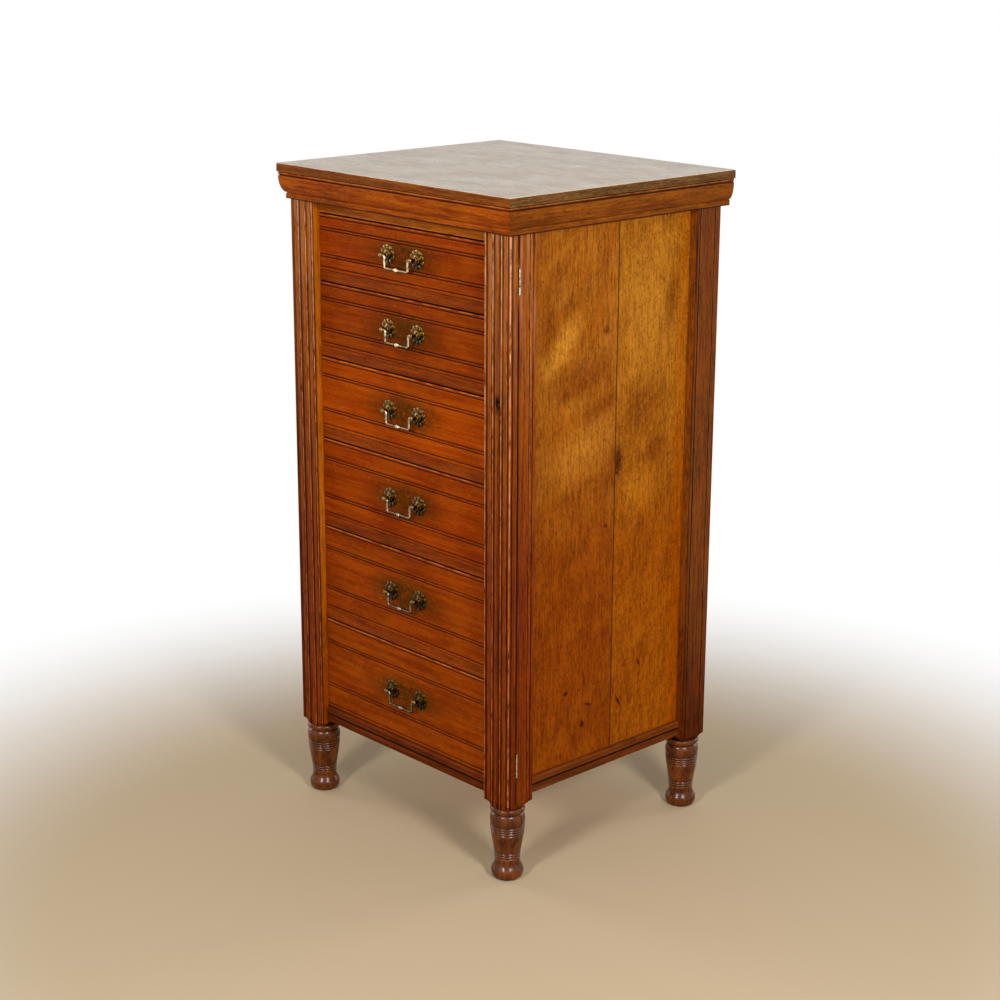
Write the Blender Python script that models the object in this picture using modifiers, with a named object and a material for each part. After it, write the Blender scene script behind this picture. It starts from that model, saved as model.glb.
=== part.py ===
"""A Wellington chest in oak: six graduated drawers beside one hinged locking stile.

Metres, +Z up. X runs along the front, +Y to the back, and the floor is at Z = 0 under the middle.
"""

import math

import bmesh
import bpy
from mathutils import Matrix, Vector

# Case
CHEST_HEIGHT = 1.140
CASE_WIDTH = 0.545
CASE_DEPTH = 0.481
POST_WIDTH = 0.060
POST_DEPTH = 0.057
FRONT_RECESS = 0.014
SIDE_RECESS = 0.016
BACK_RECESS = 0.006
BACK_BOARDS = 3
PANEL_THICK = 0.010
GROOVE_DEPTH = 0.006
BOARD_JOINT_OFFSET = 0.014
BOARD_JOINT_WIDTH = 0.0012
TENON_LENGTH = 0.006
TENON_WIDTH = 0.012
TENON_SETBACK = 0.022
TENON_SHOULDER_SHARE = 0.2

# Top and cornice
TOP_THICK = 0.015
TOP_EASE = 0.0015
TOP_EASE_STEPS = 2
TOP_OVERHANG_SIDES = 0.0145
TOP_OVERHANG_ENDS = 0.0165
CORNICE_HEIGHT = 0.045
CORNICE_FOOT_HEIGHT = 0.010
CORNICE_FOOT_OUT = 0.0045
CORNICE_BEAD = 0.0045
CORNICE_QUIRK = 0.0016
CORNICE_SET_BACK = 0.0018
OVOLO_SWEEP = 75
OVOLO_STEPS = 5
FRIEZE_HEIGHT = 0.0175
FRIEZE_THICK = 0.026

# Rails under the panels and the lowest drawer
RAIL_RECESS = 0.009
RAIL_THICK = 0.030
RAIL_LIFT = 0.0065
RAIL_HEIGHT = 0.0272
RAIL_BAND = 0.0125
RAIL_NOSE = 0.005
RAIL_COVE = 0.003
BOTTOM_THICK = 0.012

# Mouldings on the posts
CORNER_BEAD_RADIUS = 0.003
EDGE_BEAD = 0.006
SIDE_BEAD = 0.007
SMALL_BEAD = 0.005
REED = 0.014
QUIRK = 0.002
FINE_QUIRK = 0.0015
SIDE_BAND = 0.005
BACK_BAND = 0.012
QUIRK_DEPTH = 0.0032
FLAT_DEPTH = 0.001
BEAD_RISE = 0.0022
REED_RISE = 0.0034
BEAD_STEPS = 4
REED_STEPS = 6
CORNER_BEAD_STEPS = 10
CORNER_BEAD_START = -20
CORNER_BEAD_SWEEP = -230

# Turned feet
FOOT_INSET_SIDE = 0.028
FOOT_INSET_END = 0.026
PAD_HEIGHT = 0.026
PAD_RADIUS = 0.0272
PAD_SWELL = 0.013
PAD_FLARE_TOP = 0.030
PAD_FOOT_RADIUS = 0.0250
PAD_FOOT_RISE = 0.0045
BASE_RADIUS = 0.020
WAIST_RADIUS = 0.0212
VASE_HEIGHT = 0.092
VASE_RADIUS = 0.0285
SWELL_DROP = 0.016
NECK_HEIGHT = 0.0205
NECK_RADIUS = 0.0276
NECK_TURN_RADIUS = 0.0290
NECK_TURN_DROP = 0.0075
NECK_CURVE_RADIUS = 0.0330
NECK_CURVE_DROP = 0.0040
NECK_FLARE = 0.041
NECK_INSET = 0.0006
NECK_LAP = 0.0005
CREASE_RADIUS = 0.0252
COLLAR_HEIGHT = 0.011
COLLAR_RADIUS = 0.0294
COLLAR_TOP_RADIUS = 0.0284
FOOT_LAP = 0.0015
RING_PITCH = 0.0046
RING_DEPTH = 0.0011
UPPER_RINGS = 3
UPPER_RING_DROP = 0.0045
LOWER_RINGS = 3
LOWER_RING_RISE = 0.0085
FOOT_STEPS = 16
SWELL_START = 60
SWELL_STEPS = 2

# Drawers, counted from the top
DRAWER_COUNT = 6
DRAWER_HEIGHT_STEP = 0.0143
DIVIDER_THICK = 0.0178
HEAD_GAP = 0.0015
END_GAP = 0.001
FRONT_THICK = 0.020
FRONT_LAP = 0.007
FRONT_BEAD = 0.005
FRONT_QUIRK = 0.0014
FRONT_LINE_DEPTH = 0.0013
LINE_SPACING = 0.0047
LINE_INSET = 0.023
LINE_INSET_STEP = 0.0035
FRONT_BEAD_STEPS = 3
TRAY_SIDE = 0.010
TRAY_BACK = 0.009
TRAY_BOTTOM = 0.006
TRAY_BOTTOM_LIFT = 0.010
TRAY_HEAD_DROP = 0.006
TRAY_REAR_GAP = 0.008
SLOT_DEPTH = 0.006

# Brass handles
HANDLE_SPACING = 0.073
HANDLE_OFFSET = 0.004
ROSE_RADIUS = 0.017
ROSE_LOBES = 10
ROSE_LOBE_STEPS = 3
ROSE_LOBE_DEPTH = 0.0018
ROSE_THICK = 0.0018
ROSE_BOSS_RADIUS = 0.0105
ROSE_BOSS_HEIGHT = 0.0045
ROSE_BOSS_SINK = 0.0004
POMMEL_OUT = 0.014
POMMEL_RADIUS = 0.0048
POMMEL_NECK = 0.0030
POMMEL_START = 45
POMMEL_SWEEP = -98
POMMEL_STEPS = 2
SHANK_RADIUS = 0.0025
NUT_RADIUS = 0.0055
NUT_THICK = 0.0035
BAIL_DROP = 0.0205
BAIL_RADIUS = 0.0024
BAIL_BAR_SHARE = 0.85
BAIL_PIN_LENGTH = 0.0045
BAIL_CORNER = 0.0035
BAIL_CORNER_STEPS = 2
BAIL_BEAD_RADIUS = 0.0044
BAIL_BEAD_LENGTH = 0.007
BAIL_BEAD_RINGS = 6
PIN_PLAY = 0.0004
HANDLE_STEPS = 8
SHARP_ANGLE = 40

# Locking stile, its hinges and its lock
STILE_THICK = 0.018
HINGE_LENGTH = 0.041
HINGE_LEAF = 0.022
HINGE_LEAF_THICK = 0.0013
KNUCKLE_RADIUS = 0.0026
HINGE_PIN_RADIUS = 0.0012
HINGE_OUT = 0.0012
KNUCKLE_STEPS = 12
PIN_STEPS = 8
UPPER_HINGE_DROP = 0.0715
LOWER_HINGE_RISE = 0.0700
KEYHOLE_DROP = 0.2625
KEYHOLE_RADIUS = 0.0028
KEYHOLE_SLOT_WIDTH = 0.0028
KEYHOLE_SLOT_LENGTH = 0.0080
KEYHOLE_STEPS = 8
LOCK_WIDTH = POST_WIDTH / 2
LOCK_HEIGHT = 0.050
LOCK_LET_IN = 0.003
LOCK_PROUD = 0.008
LOCK_SWING_ROOM = 0.003
BOLT_DROP = 0.014
BOLT_HEIGHT = 0.010
BOLT_THICK = 0.0045
BOLT_LENGTH = 0.022
BOLT_THROW_SHARE = 0.3
BOLT_THROW = LOCK_WIDTH * BOLT_THROW_SHARE

# Clearances
FIT = 0.0003
CUT_OVER = 0.002
WELD = 1e-6
AXIS_MERGE = 1e-5

# Heights that follow
FOOT_HEIGHT = PAD_HEIGHT + VASE_HEIGHT + NECK_HEIGHT
RAIL_BOTTOM = FOOT_HEIGHT + RAIL_LIFT
RAIL_TOP = RAIL_BOTTOM + RAIL_HEIGHT
TOP_BOTTOM = CHEST_HEIGHT - TOP_THICK
CORNICE_BOTTOM = TOP_BOTTOM - CORNICE_HEIGHT
FRIEZE_BOTTOM = CORNICE_BOTTOM - FRIEZE_HEIGHT
DIVIDER_STACK = (DRAWER_COUNT - 1) * (HEAD_GAP + DIVIDER_THICK + FIT)
DRAWER_SPACE = FRIEZE_BOTTOM - HEAD_GAP - RAIL_TOP - FIT - DIVIDER_STACK
TOP_DRAWER_HEIGHT = DRAWER_SPACE / DRAWER_COUNT - DRAWER_HEIGHT_STEP * (DRAWER_COUNT - 1) / 2
DRAWER_HEIGHTS = [TOP_DRAWER_HEIGHT + step * DRAWER_HEIGHT_STEP for step in range(DRAWER_COUNT)]
STILE_BOTTOM = FOOT_HEIGHT + NECK_LAP + FIT
STILE_TOP = CORNICE_BOTTOM - FIT
CORNICE_SEAT = CORNICE_BOTTOM + CORNICE_FOOT_HEIGHT / 2

# Places that follow
HALF_WIDTH = CASE_WIDTH / 2
HALF_DEPTH = CASE_DEPTH / 2
INNER_X = HALF_WIDTH - POST_WIDTH
PANEL_OUTER = HALF_WIDTH - SIDE_RECESS
PANEL_INNER = PANEL_OUTER - PANEL_THICK
FACE_Y = -HALF_DEPTH + FRONT_RECESS
BACK_OUTER = HALF_DEPTH - BACK_RECESS
BACK_INNER = BACK_OUTER - PANEL_THICK
SEAM_Y = -HALF_DEPTH + STILE_THICK
HINGE_X = HALF_WIDTH + HINGE_OUT
LOCK_X = HALF_WIDTH - POST_WIDTH / 2
KEYHOLE_Z = STILE_TOP - KEYHOLE_DROP
BOLT_Z = KEYHOLE_Z - BOLT_DROP
PIN_HOLE_RADIUS = BAIL_RADIUS + PIN_PLAY
BAIL_ARM_X = HANDLE_SPACING / 2 - POMMEL_RADIUS - BAIL_RADIUS - PIN_PLAY

# Finishes: colour, roughness, metallic
FINISHES = {
    "polished oak": ((0.29, 0.095, 0.018, 1), 0.35, 0.0),
    "dark oak": ((0.16, 0.052, 0.014, 1), 0.32, 0.0),
    "golden oak": ((0.36, 0.165, 0.035, 1), 0.40, 0.0),
    "pale worn oak": ((0.42, 0.31, 0.20, 1), 0.30, 0.0),
    "raw oak": ((0.40, 0.25, 0.12, 1), 0.70, 0.0),
    "aged brass": ((0.33, 0.22, 0.09, 1), 0.30, 1.0),
    "dark iron": ((0.09, 0.085, 0.08, 1), 0.45, 1.0),
}

# Each turn takes an outline's two directions and its thickness to the world axes
TURNS = {
    "X": Matrix(((0, 0, 1), (1, 0, 0), (0, 1, 0))).to_4x4(),
    "Y": Matrix(((1, 0, 0), (0, 0, -1), (0, 1, 0))).to_4x4(),
    "Z": Matrix.Identity(4),
}


def clear_scene():
    for obj in list(bpy.data.objects):
        bpy.data.objects.remove(obj)


def new_collection(name):
    collection = bpy.data.collections.new(name)
    bpy.context.scene.collection.children.link(collection)
    return collection


def make_finishes():
    made = {}
    for name, (colour, roughness, metallic) in FINISHES.items():
        finish = bpy.data.materials.new(name)
        finish.use_nodes = True
        shader = finish.node_tree.nodes["Principled BSDF"]
        shader.inputs["Base Color"].default_value = colour
        shader.inputs["Roughness"].default_value = roughness
        shader.inputs["Metallic"].default_value = metallic
        made[name] = finish
    return made


clear_scene()
PARTS = new_collection("wellington_chest")
CUTTERS = new_collection("cutters")
MATERIALS = make_finishes()


def tidy(mesh):
    """Welds a mesh and turns its faces outward."""
    work = bmesh.new()
    work.from_mesh(mesh)
    bmesh.ops.remove_doubles(work, verts=work.verts, dist=WELD)
    bmesh.ops.recalc_face_normals(work, faces=work.faces)
    work.to_mesh(mesh)
    work.free()
    return mesh


def boxes(name, bounds):
    """One mesh of separate boxes, each given by its lowest and highest corner."""
    work = bmesh.new()
    for low, high in bounds:
        size = Vector(high) - Vector(low)
        middle = (Vector(high) + Vector(low)) / 2
        made = bmesh.ops.create_cube(work, size=1)
        bmesh.ops.scale(work, verts=made["verts"], vec=size)
        bmesh.ops.translate(work, verts=made["verts"], vec=middle)
    mesh = bpy.data.meshes.new(name)
    work.to_mesh(mesh)
    work.free()
    return mesh


def from_curve(name, curve):
    """The closed mesh of a curve."""
    guide = bpy.data.objects.new(name, curve)
    mesh = bpy.data.meshes.new_from_object(guide)
    bpy.data.objects.remove(guide)
    bpy.data.curves.remove(curve)
    return tidy(mesh)


def prism(name, outline, low, high, axis="Z"):
    """A closed outline made solid along an axis. Its two directions are YZ, XZ or XY."""
    curve = bpy.data.curves.new(name, "CURVE")
    curve.dimensions = "2D"
    curve.fill_mode = "BOTH"
    curve.extrude = (high - low) / 2
    spline = curve.splines.new("POLY")
    spline.points.add(len(outline) - 1)
    for point, (across, up) in zip(spline.points, outline):
        point.co = (across, up, 0, 1)
    spline.use_cyclic_u = True
    mesh = from_curve(name, curve)
    shift = Vector([(low + high) / 2 if letter == axis else 0 for letter in "XYZ"])
    mesh.transform(Matrix.Translation(shift) @ TURNS[axis])
    return mesh


def turned(name, profile, steps, at, towards="Z"):
    """A profile of (radius, height) from top to bottom, turned about Z or about the way to the front."""
    rim = bmesh.new()
    line = [rim.verts.new((radius, 0, height)) for radius, height in profile]
    for start, end in zip(line, line[1:]):
        rim.edges.new((start, end))
    mesh = bpy.data.meshes.new(name)
    rim.to_mesh(mesh)
    rim.free()
    blank = bpy.data.objects.new(name, mesh)
    bpy.context.scene.collection.objects.link(blank)
    screw = blank.modifiers.new("turn", "SCREW")
    screw.steps = steps
    screw.render_steps = steps
    screw.use_merge_vertices = True
    screw.merge_threshold = AXIS_MERGE
    made = baked(blank)
    for face in made.polygons:
        face.use_smooth = True
    made.transform(Matrix.Translation(at) @ TURNS["Y" if towards == "front" else "Z"])
    return tidy(made)


def baked(obj):
    """The mesh of an object with its modifiers applied. The object is removed."""
    bpy.context.view_layer.update()
    graph = bpy.context.evaluated_depsgraph_get()
    mesh = bpy.data.meshes.new_from_object(obj.evaluated_get(graph))
    mesh.name = obj.name
    bpy.data.objects.remove(obj)
    return mesh


def arc(centre, radii, start, sweep, steps):
    """Points on an arc, with its angles in degrees."""
    points = []
    for step in range(steps + 1):
        angle = math.radians(start + sweep * step / steps)
        across = centre[0] + radii[0] * math.cos(angle)
        points.append((across, centre[1] + radii[1] * math.sin(angle)))
    return points


def circle(name, radius, steps, at, length, axis):
    """A round bar whose middle is at a point."""
    outline = arc((0, 0), (radius, radius), 0, 360 - 360 / steps, steps - 1)
    mesh = prism(name, outline, -length / 2, length / 2, axis)
    mesh.transform(Matrix.Translation(at))
    return mesh


def keep_place(obj, parent):
    """Parents an object without moving it. Every parent here is an empty that isn't turned."""
    obj.parent = parent
    obj.matrix_parent_inverse = Matrix.Translation(-parent.matrix_world.translation)


def pivot(name, at, parent=None):
    """An empty on the axis of a moving body."""
    empty = bpy.data.objects.new(name, None)
    empty.empty_display_size = POST_WIDTH / 2
    empty.location = at
    PARTS.objects.link(empty)
    if parent:
        keep_place(empty, parent)
    bpy.context.view_layer.update()
    return empty


def add_part(name, mesh, finish, origin, parent=None):
    """A sub-part from a mesh in world places, with its own origin."""
    mesh.transform(Matrix.Translation(-Vector(origin)))
    mesh.materials.clear()
    mesh.materials.append(MATERIALS[finish])
    part = bpy.data.objects.new(name, mesh)
    part.location = origin
    PARTS.objects.link(part)
    if parent:
        keep_place(part, parent)
    return part


def combine(part, operation, mesh):
    """Cuts a mesh out of a part, or joins it on."""
    tool = bpy.data.objects.new(mesh.name, mesh)
    tool.display_type = "WIRE"
    tool.hide_render = True
    CUTTERS.objects.link(tool)
    if part.parent:
        keep_place(tool, part.parent)
    change = part.modifiers.new(mesh.name, "BOOLEAN")
    change.operation = operation
    change.solver = "EXACT"
    change.object = tool


def cut(part, mesh):
    combine(part, "DIFFERENCE", mesh)


def join(part, mesh):
    combine(part, "UNION", mesh)


def drawer_bottoms():
    """The height of each drawer's lower edge, from the top drawer down."""
    heights = []
    level = FRIEZE_BOTTOM
    for height in DRAWER_HEIGHTS:
        level -= HEAD_GAP + height
        heights.append(level)
        level -= FIT + DIVIDER_THICK
    return heights


def divider_tops():
    return [bottom - FIT for bottom in drawer_bottoms()[:-1]]


def mould(strips):
    """A moulded face as (along, depth) points, from strips of a kind and a width."""
    points = []
    along = 0
    for kind, width in strips:
        if kind == "quirk":
            points.append((along + width / 2, QUIRK_DEPTH))
        elif kind == "flat":
            points.append((along, FLAT_DEPTH))
            points.append((along + width, FLAT_DEPTH))
        else:
            rise = REED_RISE if kind == "reed" else BEAD_RISE
            steps = REED_STEPS if kind == "reed" else BEAD_STEPS
            points += arc((along + width / 2, rise), (width / 2, rise), 180, 180, steps)
        along += width
    return points


def front_strips():
    """The reeded front of a post or stile, from its inner edge to the corner bead."""
    cluster = 2 * SMALL_BEAD + REED + 2 * FINE_QUIRK
    edges = EDGE_BEAD + 2 * QUIRK + 2 * CORNER_BEAD_RADIUS
    flat = (POST_WIDTH - cluster - edges) / 2
    return [
        ("bead", EDGE_BEAD),
        ("quirk", QUIRK),
        ("flat", flat),
        ("quirk", FINE_QUIRK),
        ("bead", SMALL_BEAD),
        ("reed", REED),
        ("bead", SMALL_BEAD),
        ("quirk", FINE_QUIRK),
        ("flat", flat),
        ("quirk", QUIRK),
    ]


def front_side_strips():
    """The side of a front post, from its corner bead to its inner edge."""
    taken = 2 * CORNER_BEAD_RADIUS + 2 * QUIRK + SIDE_BAND + FINE_QUIRK + SIDE_BEAD
    return [
        ("quirk", QUIRK),
        ("flat", POST_DEPTH - taken),
        ("quirk", QUIRK),
        ("flat", SIDE_BAND),
        ("quirk", FINE_QUIRK),
        ("bead", SIDE_BEAD),
    ]


def back_side_strips():
    """The side of a back post, from its square corner to its inner edge."""
    return [
        ("flat", BACK_BAND),
        ("quirk", QUIRK),
        ("flat", POST_DEPTH - BACK_BAND - 2 * QUIRK - SIDE_BEAD),
        ("quirk", QUIRK),
        ("bead", SIDE_BEAD),
    ]


def moulded_front():
    """The reeded face and the bead round the corner, as distances in from the side and the front."""
    points = [(POST_WIDTH - along, depth) for along, depth in mould(front_strips())]
    centre = (CORNER_BEAD_RADIUS, CORNER_BEAD_RADIUS)
    return points + arc(centre, centre, CORNER_BEAD_START, CORNER_BEAD_SWEEP, CORNER_BEAD_STEPS)


def panel_groove():
    """The groove for a side panel in a post's inner end, and the corner behind it."""
    outer = SIDE_RECESS - FIT
    inner = SIDE_RECESS + PANEL_THICK + FIT
    floor = POST_DEPTH - GROOVE_DEPTH
    return [
        (outer, POST_DEPTH),
        (outer, floor),
        (inner, floor),
        (inner, POST_DEPTH),
        (POST_WIDTH, POST_DEPTH),
    ]


def front_post_outline():
    start = 2 * CORNER_BEAD_RADIUS
    side = [(depth, start + along) for along, depth in mould(front_side_strips())]
    return moulded_front() + side + panel_groove()


def back_post_outline():
    side = [(depth, along) for along, depth in mould(back_side_strips())]
    outer = BACK_RECESS - FIT
    inner = BACK_RECESS + PANEL_THICK + FIT
    floor = POST_WIDTH - GROOVE_DEPTH
    back_groove = [
        (POST_WIDTH, inner),
        (floor, inner),
        (floor, outer),
        (POST_WIDTH, outer),
        (POST_WIDTH, FLAT_DEPTH),
    ]
    return side + panel_groove() + back_groove


def stile_outline():
    """The stile's plan, as distances in from the side and the front."""
    back = STILE_THICK - FIT / 2
    start = 2 * CORNER_BEAD_RADIUS
    side = [(QUIRK_DEPTH, start + QUIRK / 2), (FLAT_DEPTH, start + QUIRK), (FLAT_DEPTH, back)]
    return moulded_front() + side + [(POST_WIDTH, back)]


def at_corner(outline, right, back):
    """Places distances in from a corner of the case. The signs say which corner."""
    return [(right * (HALF_WIDTH - inward), back * (HALF_DEPTH - behind)) for inward, behind in outline]


def vase_radius(height):
    """The foot's radius between its waist and its widest."""
    widest = PAD_HEIGHT + VASE_HEIGHT - SWELL_DROP
    share = (height - PAD_HEIGHT) / (widest - PAD_HEIGHT)
    return WAIST_RADIUS + (VASE_RADIUS - WAIST_RADIUS) * (1 - math.cos(math.pi * share)) / 2


def ring_band(top, count):
    """A band of incised rings from a height down: the surface dips between its crests."""
    points = [(vase_radius(top), top)]
    for ring in range(count):
        dip = top - (ring + 0.5) * RING_PITCH
        crest = top - (ring + 1) * RING_PITCH
        points.append((vase_radius(dip) - RING_DEPTH, dip))
        points.append((vase_radius(crest), crest))
    return points


def foot_profile():
    """The foot from its collar down to the floor, with its incised rings and its round pad."""
    shoulder = PAD_HEIGHT + VASE_HEIGHT
    widest = shoulder - SWELL_DROP
    collar = shoulder + COLLAR_HEIGHT
    points = [(0, collar), (COLLAR_TOP_RADIUS, collar), (COLLAR_RADIUS, shoulder + COLLAR_HEIGHT / 2)]
    points.append((CREASE_RADIUS, shoulder))
    swell = (VASE_RADIUS - CREASE_RADIUS, SWELL_DROP)
    points += arc((CREASE_RADIUS, widest), swell, SWELL_START, -SWELL_START, SWELL_STEPS)
    points += ring_band(widest - UPPER_RING_DROP, UPPER_RINGS)
    upper_end = points[-1][1]
    lower_start = PAD_HEIGHT + LOWER_RING_RISE + LOWER_RINGS * RING_PITCH
    between = (upper_end + lower_start) / 2
    points.append((vase_radius(between), between))
    points += ring_band(lower_start, LOWER_RINGS)
    flare = vase_radius(PAD_FLARE_TOP)
    points += [(flare, PAD_FLARE_TOP), ((flare + PAD_RADIUS) / 2, (PAD_FLARE_TOP + PAD_SWELL) / 2)]
    points += [(PAD_RADIUS, PAD_SWELL), (PAD_FOOT_RADIUS, PAD_FOOT_RISE)]
    return points + [(BASE_RADIUS, 0), (0, 0)]


def neck_profile():
    """The neck that flares from the foot's collar to the square of the post."""
    low = PAD_HEIGHT + VASE_HEIGHT + COLLAR_HEIGHT - FOOT_LAP
    high = FOOT_HEIGHT + NECK_LAP
    points = [(0, high), (NECK_FLARE, high), (NECK_CURVE_RADIUS, high - NECK_CURVE_DROP)]
    points += [(NECK_TURN_RADIUS, high - NECK_TURN_DROP), (NECK_RADIUS, low)]
    return points + [(0, low)]


def neck_block(right, back):
    """The square that a neck is cut to, just inside the faces of its post."""
    inward = (NECK_INSET, POST_WIDTH - NECK_INSET)
    behind = (NECK_INSET, POST_DEPTH - NECK_INSET)
    corners = at_corner(zip(inward, behind), right, back)
    across, along = (sorted(pair) for pair in zip(*corners))
    low = (across[0], along[0], 0)
    return boxes("neck block", [(low, (across[1], along[1], TOP_BOTTOM))])


def common(mesh, block):
    """What two meshes share."""
    piece = bpy.data.objects.new(mesh.name, mesh)
    other = bpy.data.objects.new(block.name, block)
    for obj in (piece, other):
        bpy.context.scene.collection.objects.link(obj)
    change = piece.modifiers.new("common", "BOOLEAN")
    change.operation = "INTERSECT"
    change.solver = "EXACT"
    change.object = other
    made = baked(piece)
    bpy.data.objects.remove(other)
    return made


def post_mortises(right, back):
    """The holes in a post for the dust boards, and for the rails at the front."""
    levels = [(top - DIVIDER_THICK, top) for top in divider_tops()]
    if back < 0:
        levels += [tenon_levels(RAIL_BOTTOM, RAIL_TOP), tenon_levels(FRIEZE_BOTTOM, TOP_BOTTOM)]
    else:
        levels.append((RAIL_TOP - BOTTOM_THICK, RAIL_TOP))
    inward = (POST_WIDTH - TENON_LENGTH, POST_WIDTH + CUT_OVER)
    behind = (TENON_SETBACK - FIT, TENON_SETBACK + TENON_WIDTH + FIT)
    corners = at_corner(zip(inward, behind), right, back)
    across, along = (sorted(pair) for pair in zip(*corners))
    bounds = []
    for low, high in levels:
        bounds.append(((across[0], along[0], low - FIT), (across[1], along[1], high + FIT)))
    return boxes("post mortises", bounds)


def tenon_levels(low, high):
    """The height that a rail's tenon takes up."""
    shoulder = (high - low) * TENON_SHOULDER_SHARE
    return low + shoulder, high - shoulder


def make_post(name, right, back):
    outline = front_post_outline() if back < 0 else back_post_outline()
    plan = at_corner(outline, right, back)
    axis_x, axis_y = at_corner([(FOOT_INSET_SIDE, FOOT_INSET_END)], right, back)[0]
    shaft = prism(name, plan, FOOT_HEIGHT, TOP_BOTTOM - FIT)
    post = add_part(name, shaft, "dark oak", (axis_x, axis_y, 0))
    if right > 0 and back < 0:
        cut_for_stile(post)
    axis = Vector((axis_x, axis_y, 0))
    neck = turned("neck", neck_profile(), FOOT_STEPS, axis)
    join(post, common(neck, neck_block(right, back)))
    join(post, turned("foot", foot_profile(), FOOT_STEPS, axis))
    cut(post, post_mortises(right, back))


def cut_for_stile(post):
    """Rebates the right front post for the locking stile, its hinges and its lock."""
    low = (INNER_X - CUT_OVER, -HALF_DEPTH - CUT_OVER, FOOT_HEIGHT - CUT_OVER)
    high = (HALF_WIDTH + CUT_OVER, SEAM_Y + FIT / 2, CORNICE_BOTTOM)
    cut(post, boxes("stile rebate", [(low, high)]))
    for centre in hinge_heights():
        cut(post, hinge_recess(centre, 1))
    pocket_low = LOCK_X - LOCK_WIDTH / 2 - LOCK_SWING_ROOM
    pocket_high = LOCK_X + LOCK_WIDTH / 2 + FIT
    half = LOCK_HEIGHT / 2 + FIT
    floor = SEAM_Y + LOCK_PROUD + 2 * FIT
    low = (pocket_low, SEAM_Y - CUT_OVER, KEYHOLE_Z - half)
    cut(post, boxes("lock pocket", [(low, (pocket_high, floor, KEYHOLE_Z + half))]))
    reach = LOCK_X - LOCK_WIDTH / 2 - BOLT_THROW - 2 * FIT
    around = 2 * FIT
    low = (reach, bolt_y() - BOLT_THICK / 2 - around, BOLT_Z - BOLT_HEIGHT / 2 - around)
    high = (pocket_low + CUT_OVER, bolt_y() + BOLT_THICK / 2 + around, BOLT_Z + BOLT_HEIGHT / 2 + around)
    cut(post, boxes("bolt slot", [(low, high)]))


def make_side(name, right):
    """One side: its panel of two boards, its bottom rail and its top rail."""
    reach = HALF_DEPTH - POST_DEPTH
    length = reach + GROOVE_DEPTH - FIT
    seat = RAIL_TOP - GROOVE_DEPTH + FIT
    head = CORNICE_SEAT + GROOVE_DEPTH - FIT
    outer = right * PANEL_OUTER
    inner = right * PANEL_INNER
    notch = outer - right * BOARD_JOINT_WIDTH
    half = BOARD_JOINT_WIDTH / 2
    joint = BOARD_JOINT_OFFSET
    plan = [(inner, -length), (inner, length), (outer, length)]
    plan += [(outer, joint + half), (notch, joint), (outer, joint - half), (outer, -length)]
    add_part(f"side_panel_{name}", prism("side panel", plan, seat, head), "golden oak", (outer, 0, seat))
    section = [(right * (HALF_WIDTH - inward), height) for inward, height in rail_section(True)]
    rail = prism("side rail", section, FIT - reach, reach - FIT, "Y")
    rail = add_part(f"side_rail_{name}", rail, "polished oak", (outer, 0, RAIL_BOTTOM))
    low, high = tenon_levels(RAIL_BOTTOM, RAIL_TOP - GROOVE_DEPTH)
    join(rail, side_tongue(right, length, low, high))
    section = [(right * (HALF_WIDTH - inward), height) for inward, height in top_rail_section()]
    top_rail = prism("side top rail", section, FIT - reach, reach - FIT, "Y")
    top_rail = add_part(f"side_top_rail_{name}", top_rail, "raw oak", (outer, 0, CORNICE_SEAT))
    low, high = tenon_levels(CORNICE_SEAT + GROOVE_DEPTH, TOP_BOTTOM)
    join(top_rail, side_tongue(right, length, low, high))


def side_tongue(right, length, low, high):
    """The tongues at both ends of a side rail, in the posts' panel grooves."""
    across = sorted((right * PANEL_OUTER, right * PANEL_INNER))
    return boxes("tongue", [((across[0], -length, low), (across[1], length, high))])


def rail_section(grooved):
    """A bottom rail as (inward, height): a band, a cove and a nose, with a groove for a panel."""
    outer = RAIL_RECESS
    cove = RAIL_BOTTOM + RAIL_BAND
    points = [(outer, RAIL_BOTTOM), (outer, cove), (outer + RAIL_COVE, cove)]
    points += [(outer + RAIL_COVE, cove + RAIL_COVE), (outer, cove + RAIL_COVE)]
    points += arc((outer + RAIL_NOSE, RAIL_TOP - RAIL_NOSE), (RAIL_NOSE, RAIL_NOSE), 180, -90, BEAD_STEPS)
    if grooved:
        sides = (SIDE_RECESS - FIT, SIDE_RECESS + PANEL_THICK + FIT)
        floor = RAIL_TOP - GROOVE_DEPTH
        points += [(sides[0], RAIL_TOP), (sides[0], floor), (sides[1], floor), (sides[1], RAIL_TOP)]
    return points + [(outer + RAIL_THICK, RAIL_TOP), (outer + RAIL_THICK, RAIL_BOTTOM)]


def top_rail_section():
    """A side's top rail, flush with the posts behind the cornice and grooved below for the panel."""
    sides = (SIDE_RECESS - FIT, SIDE_RECESS + PANEL_THICK + FIT)
    floor = CORNICE_SEAT + GROOVE_DEPTH
    inner = RAIL_RECESS + RAIL_THICK
    points = [(0, CORNICE_SEAT), (0, TOP_BOTTOM - FIT), (inner, TOP_BOTTOM - FIT), (inner, CORNICE_SEAT)]
    return points + [(sides[1], CORNICE_SEAT), (sides[1], floor), (sides[0], floor), (sides[0], CORNICE_SEAT)]


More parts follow.
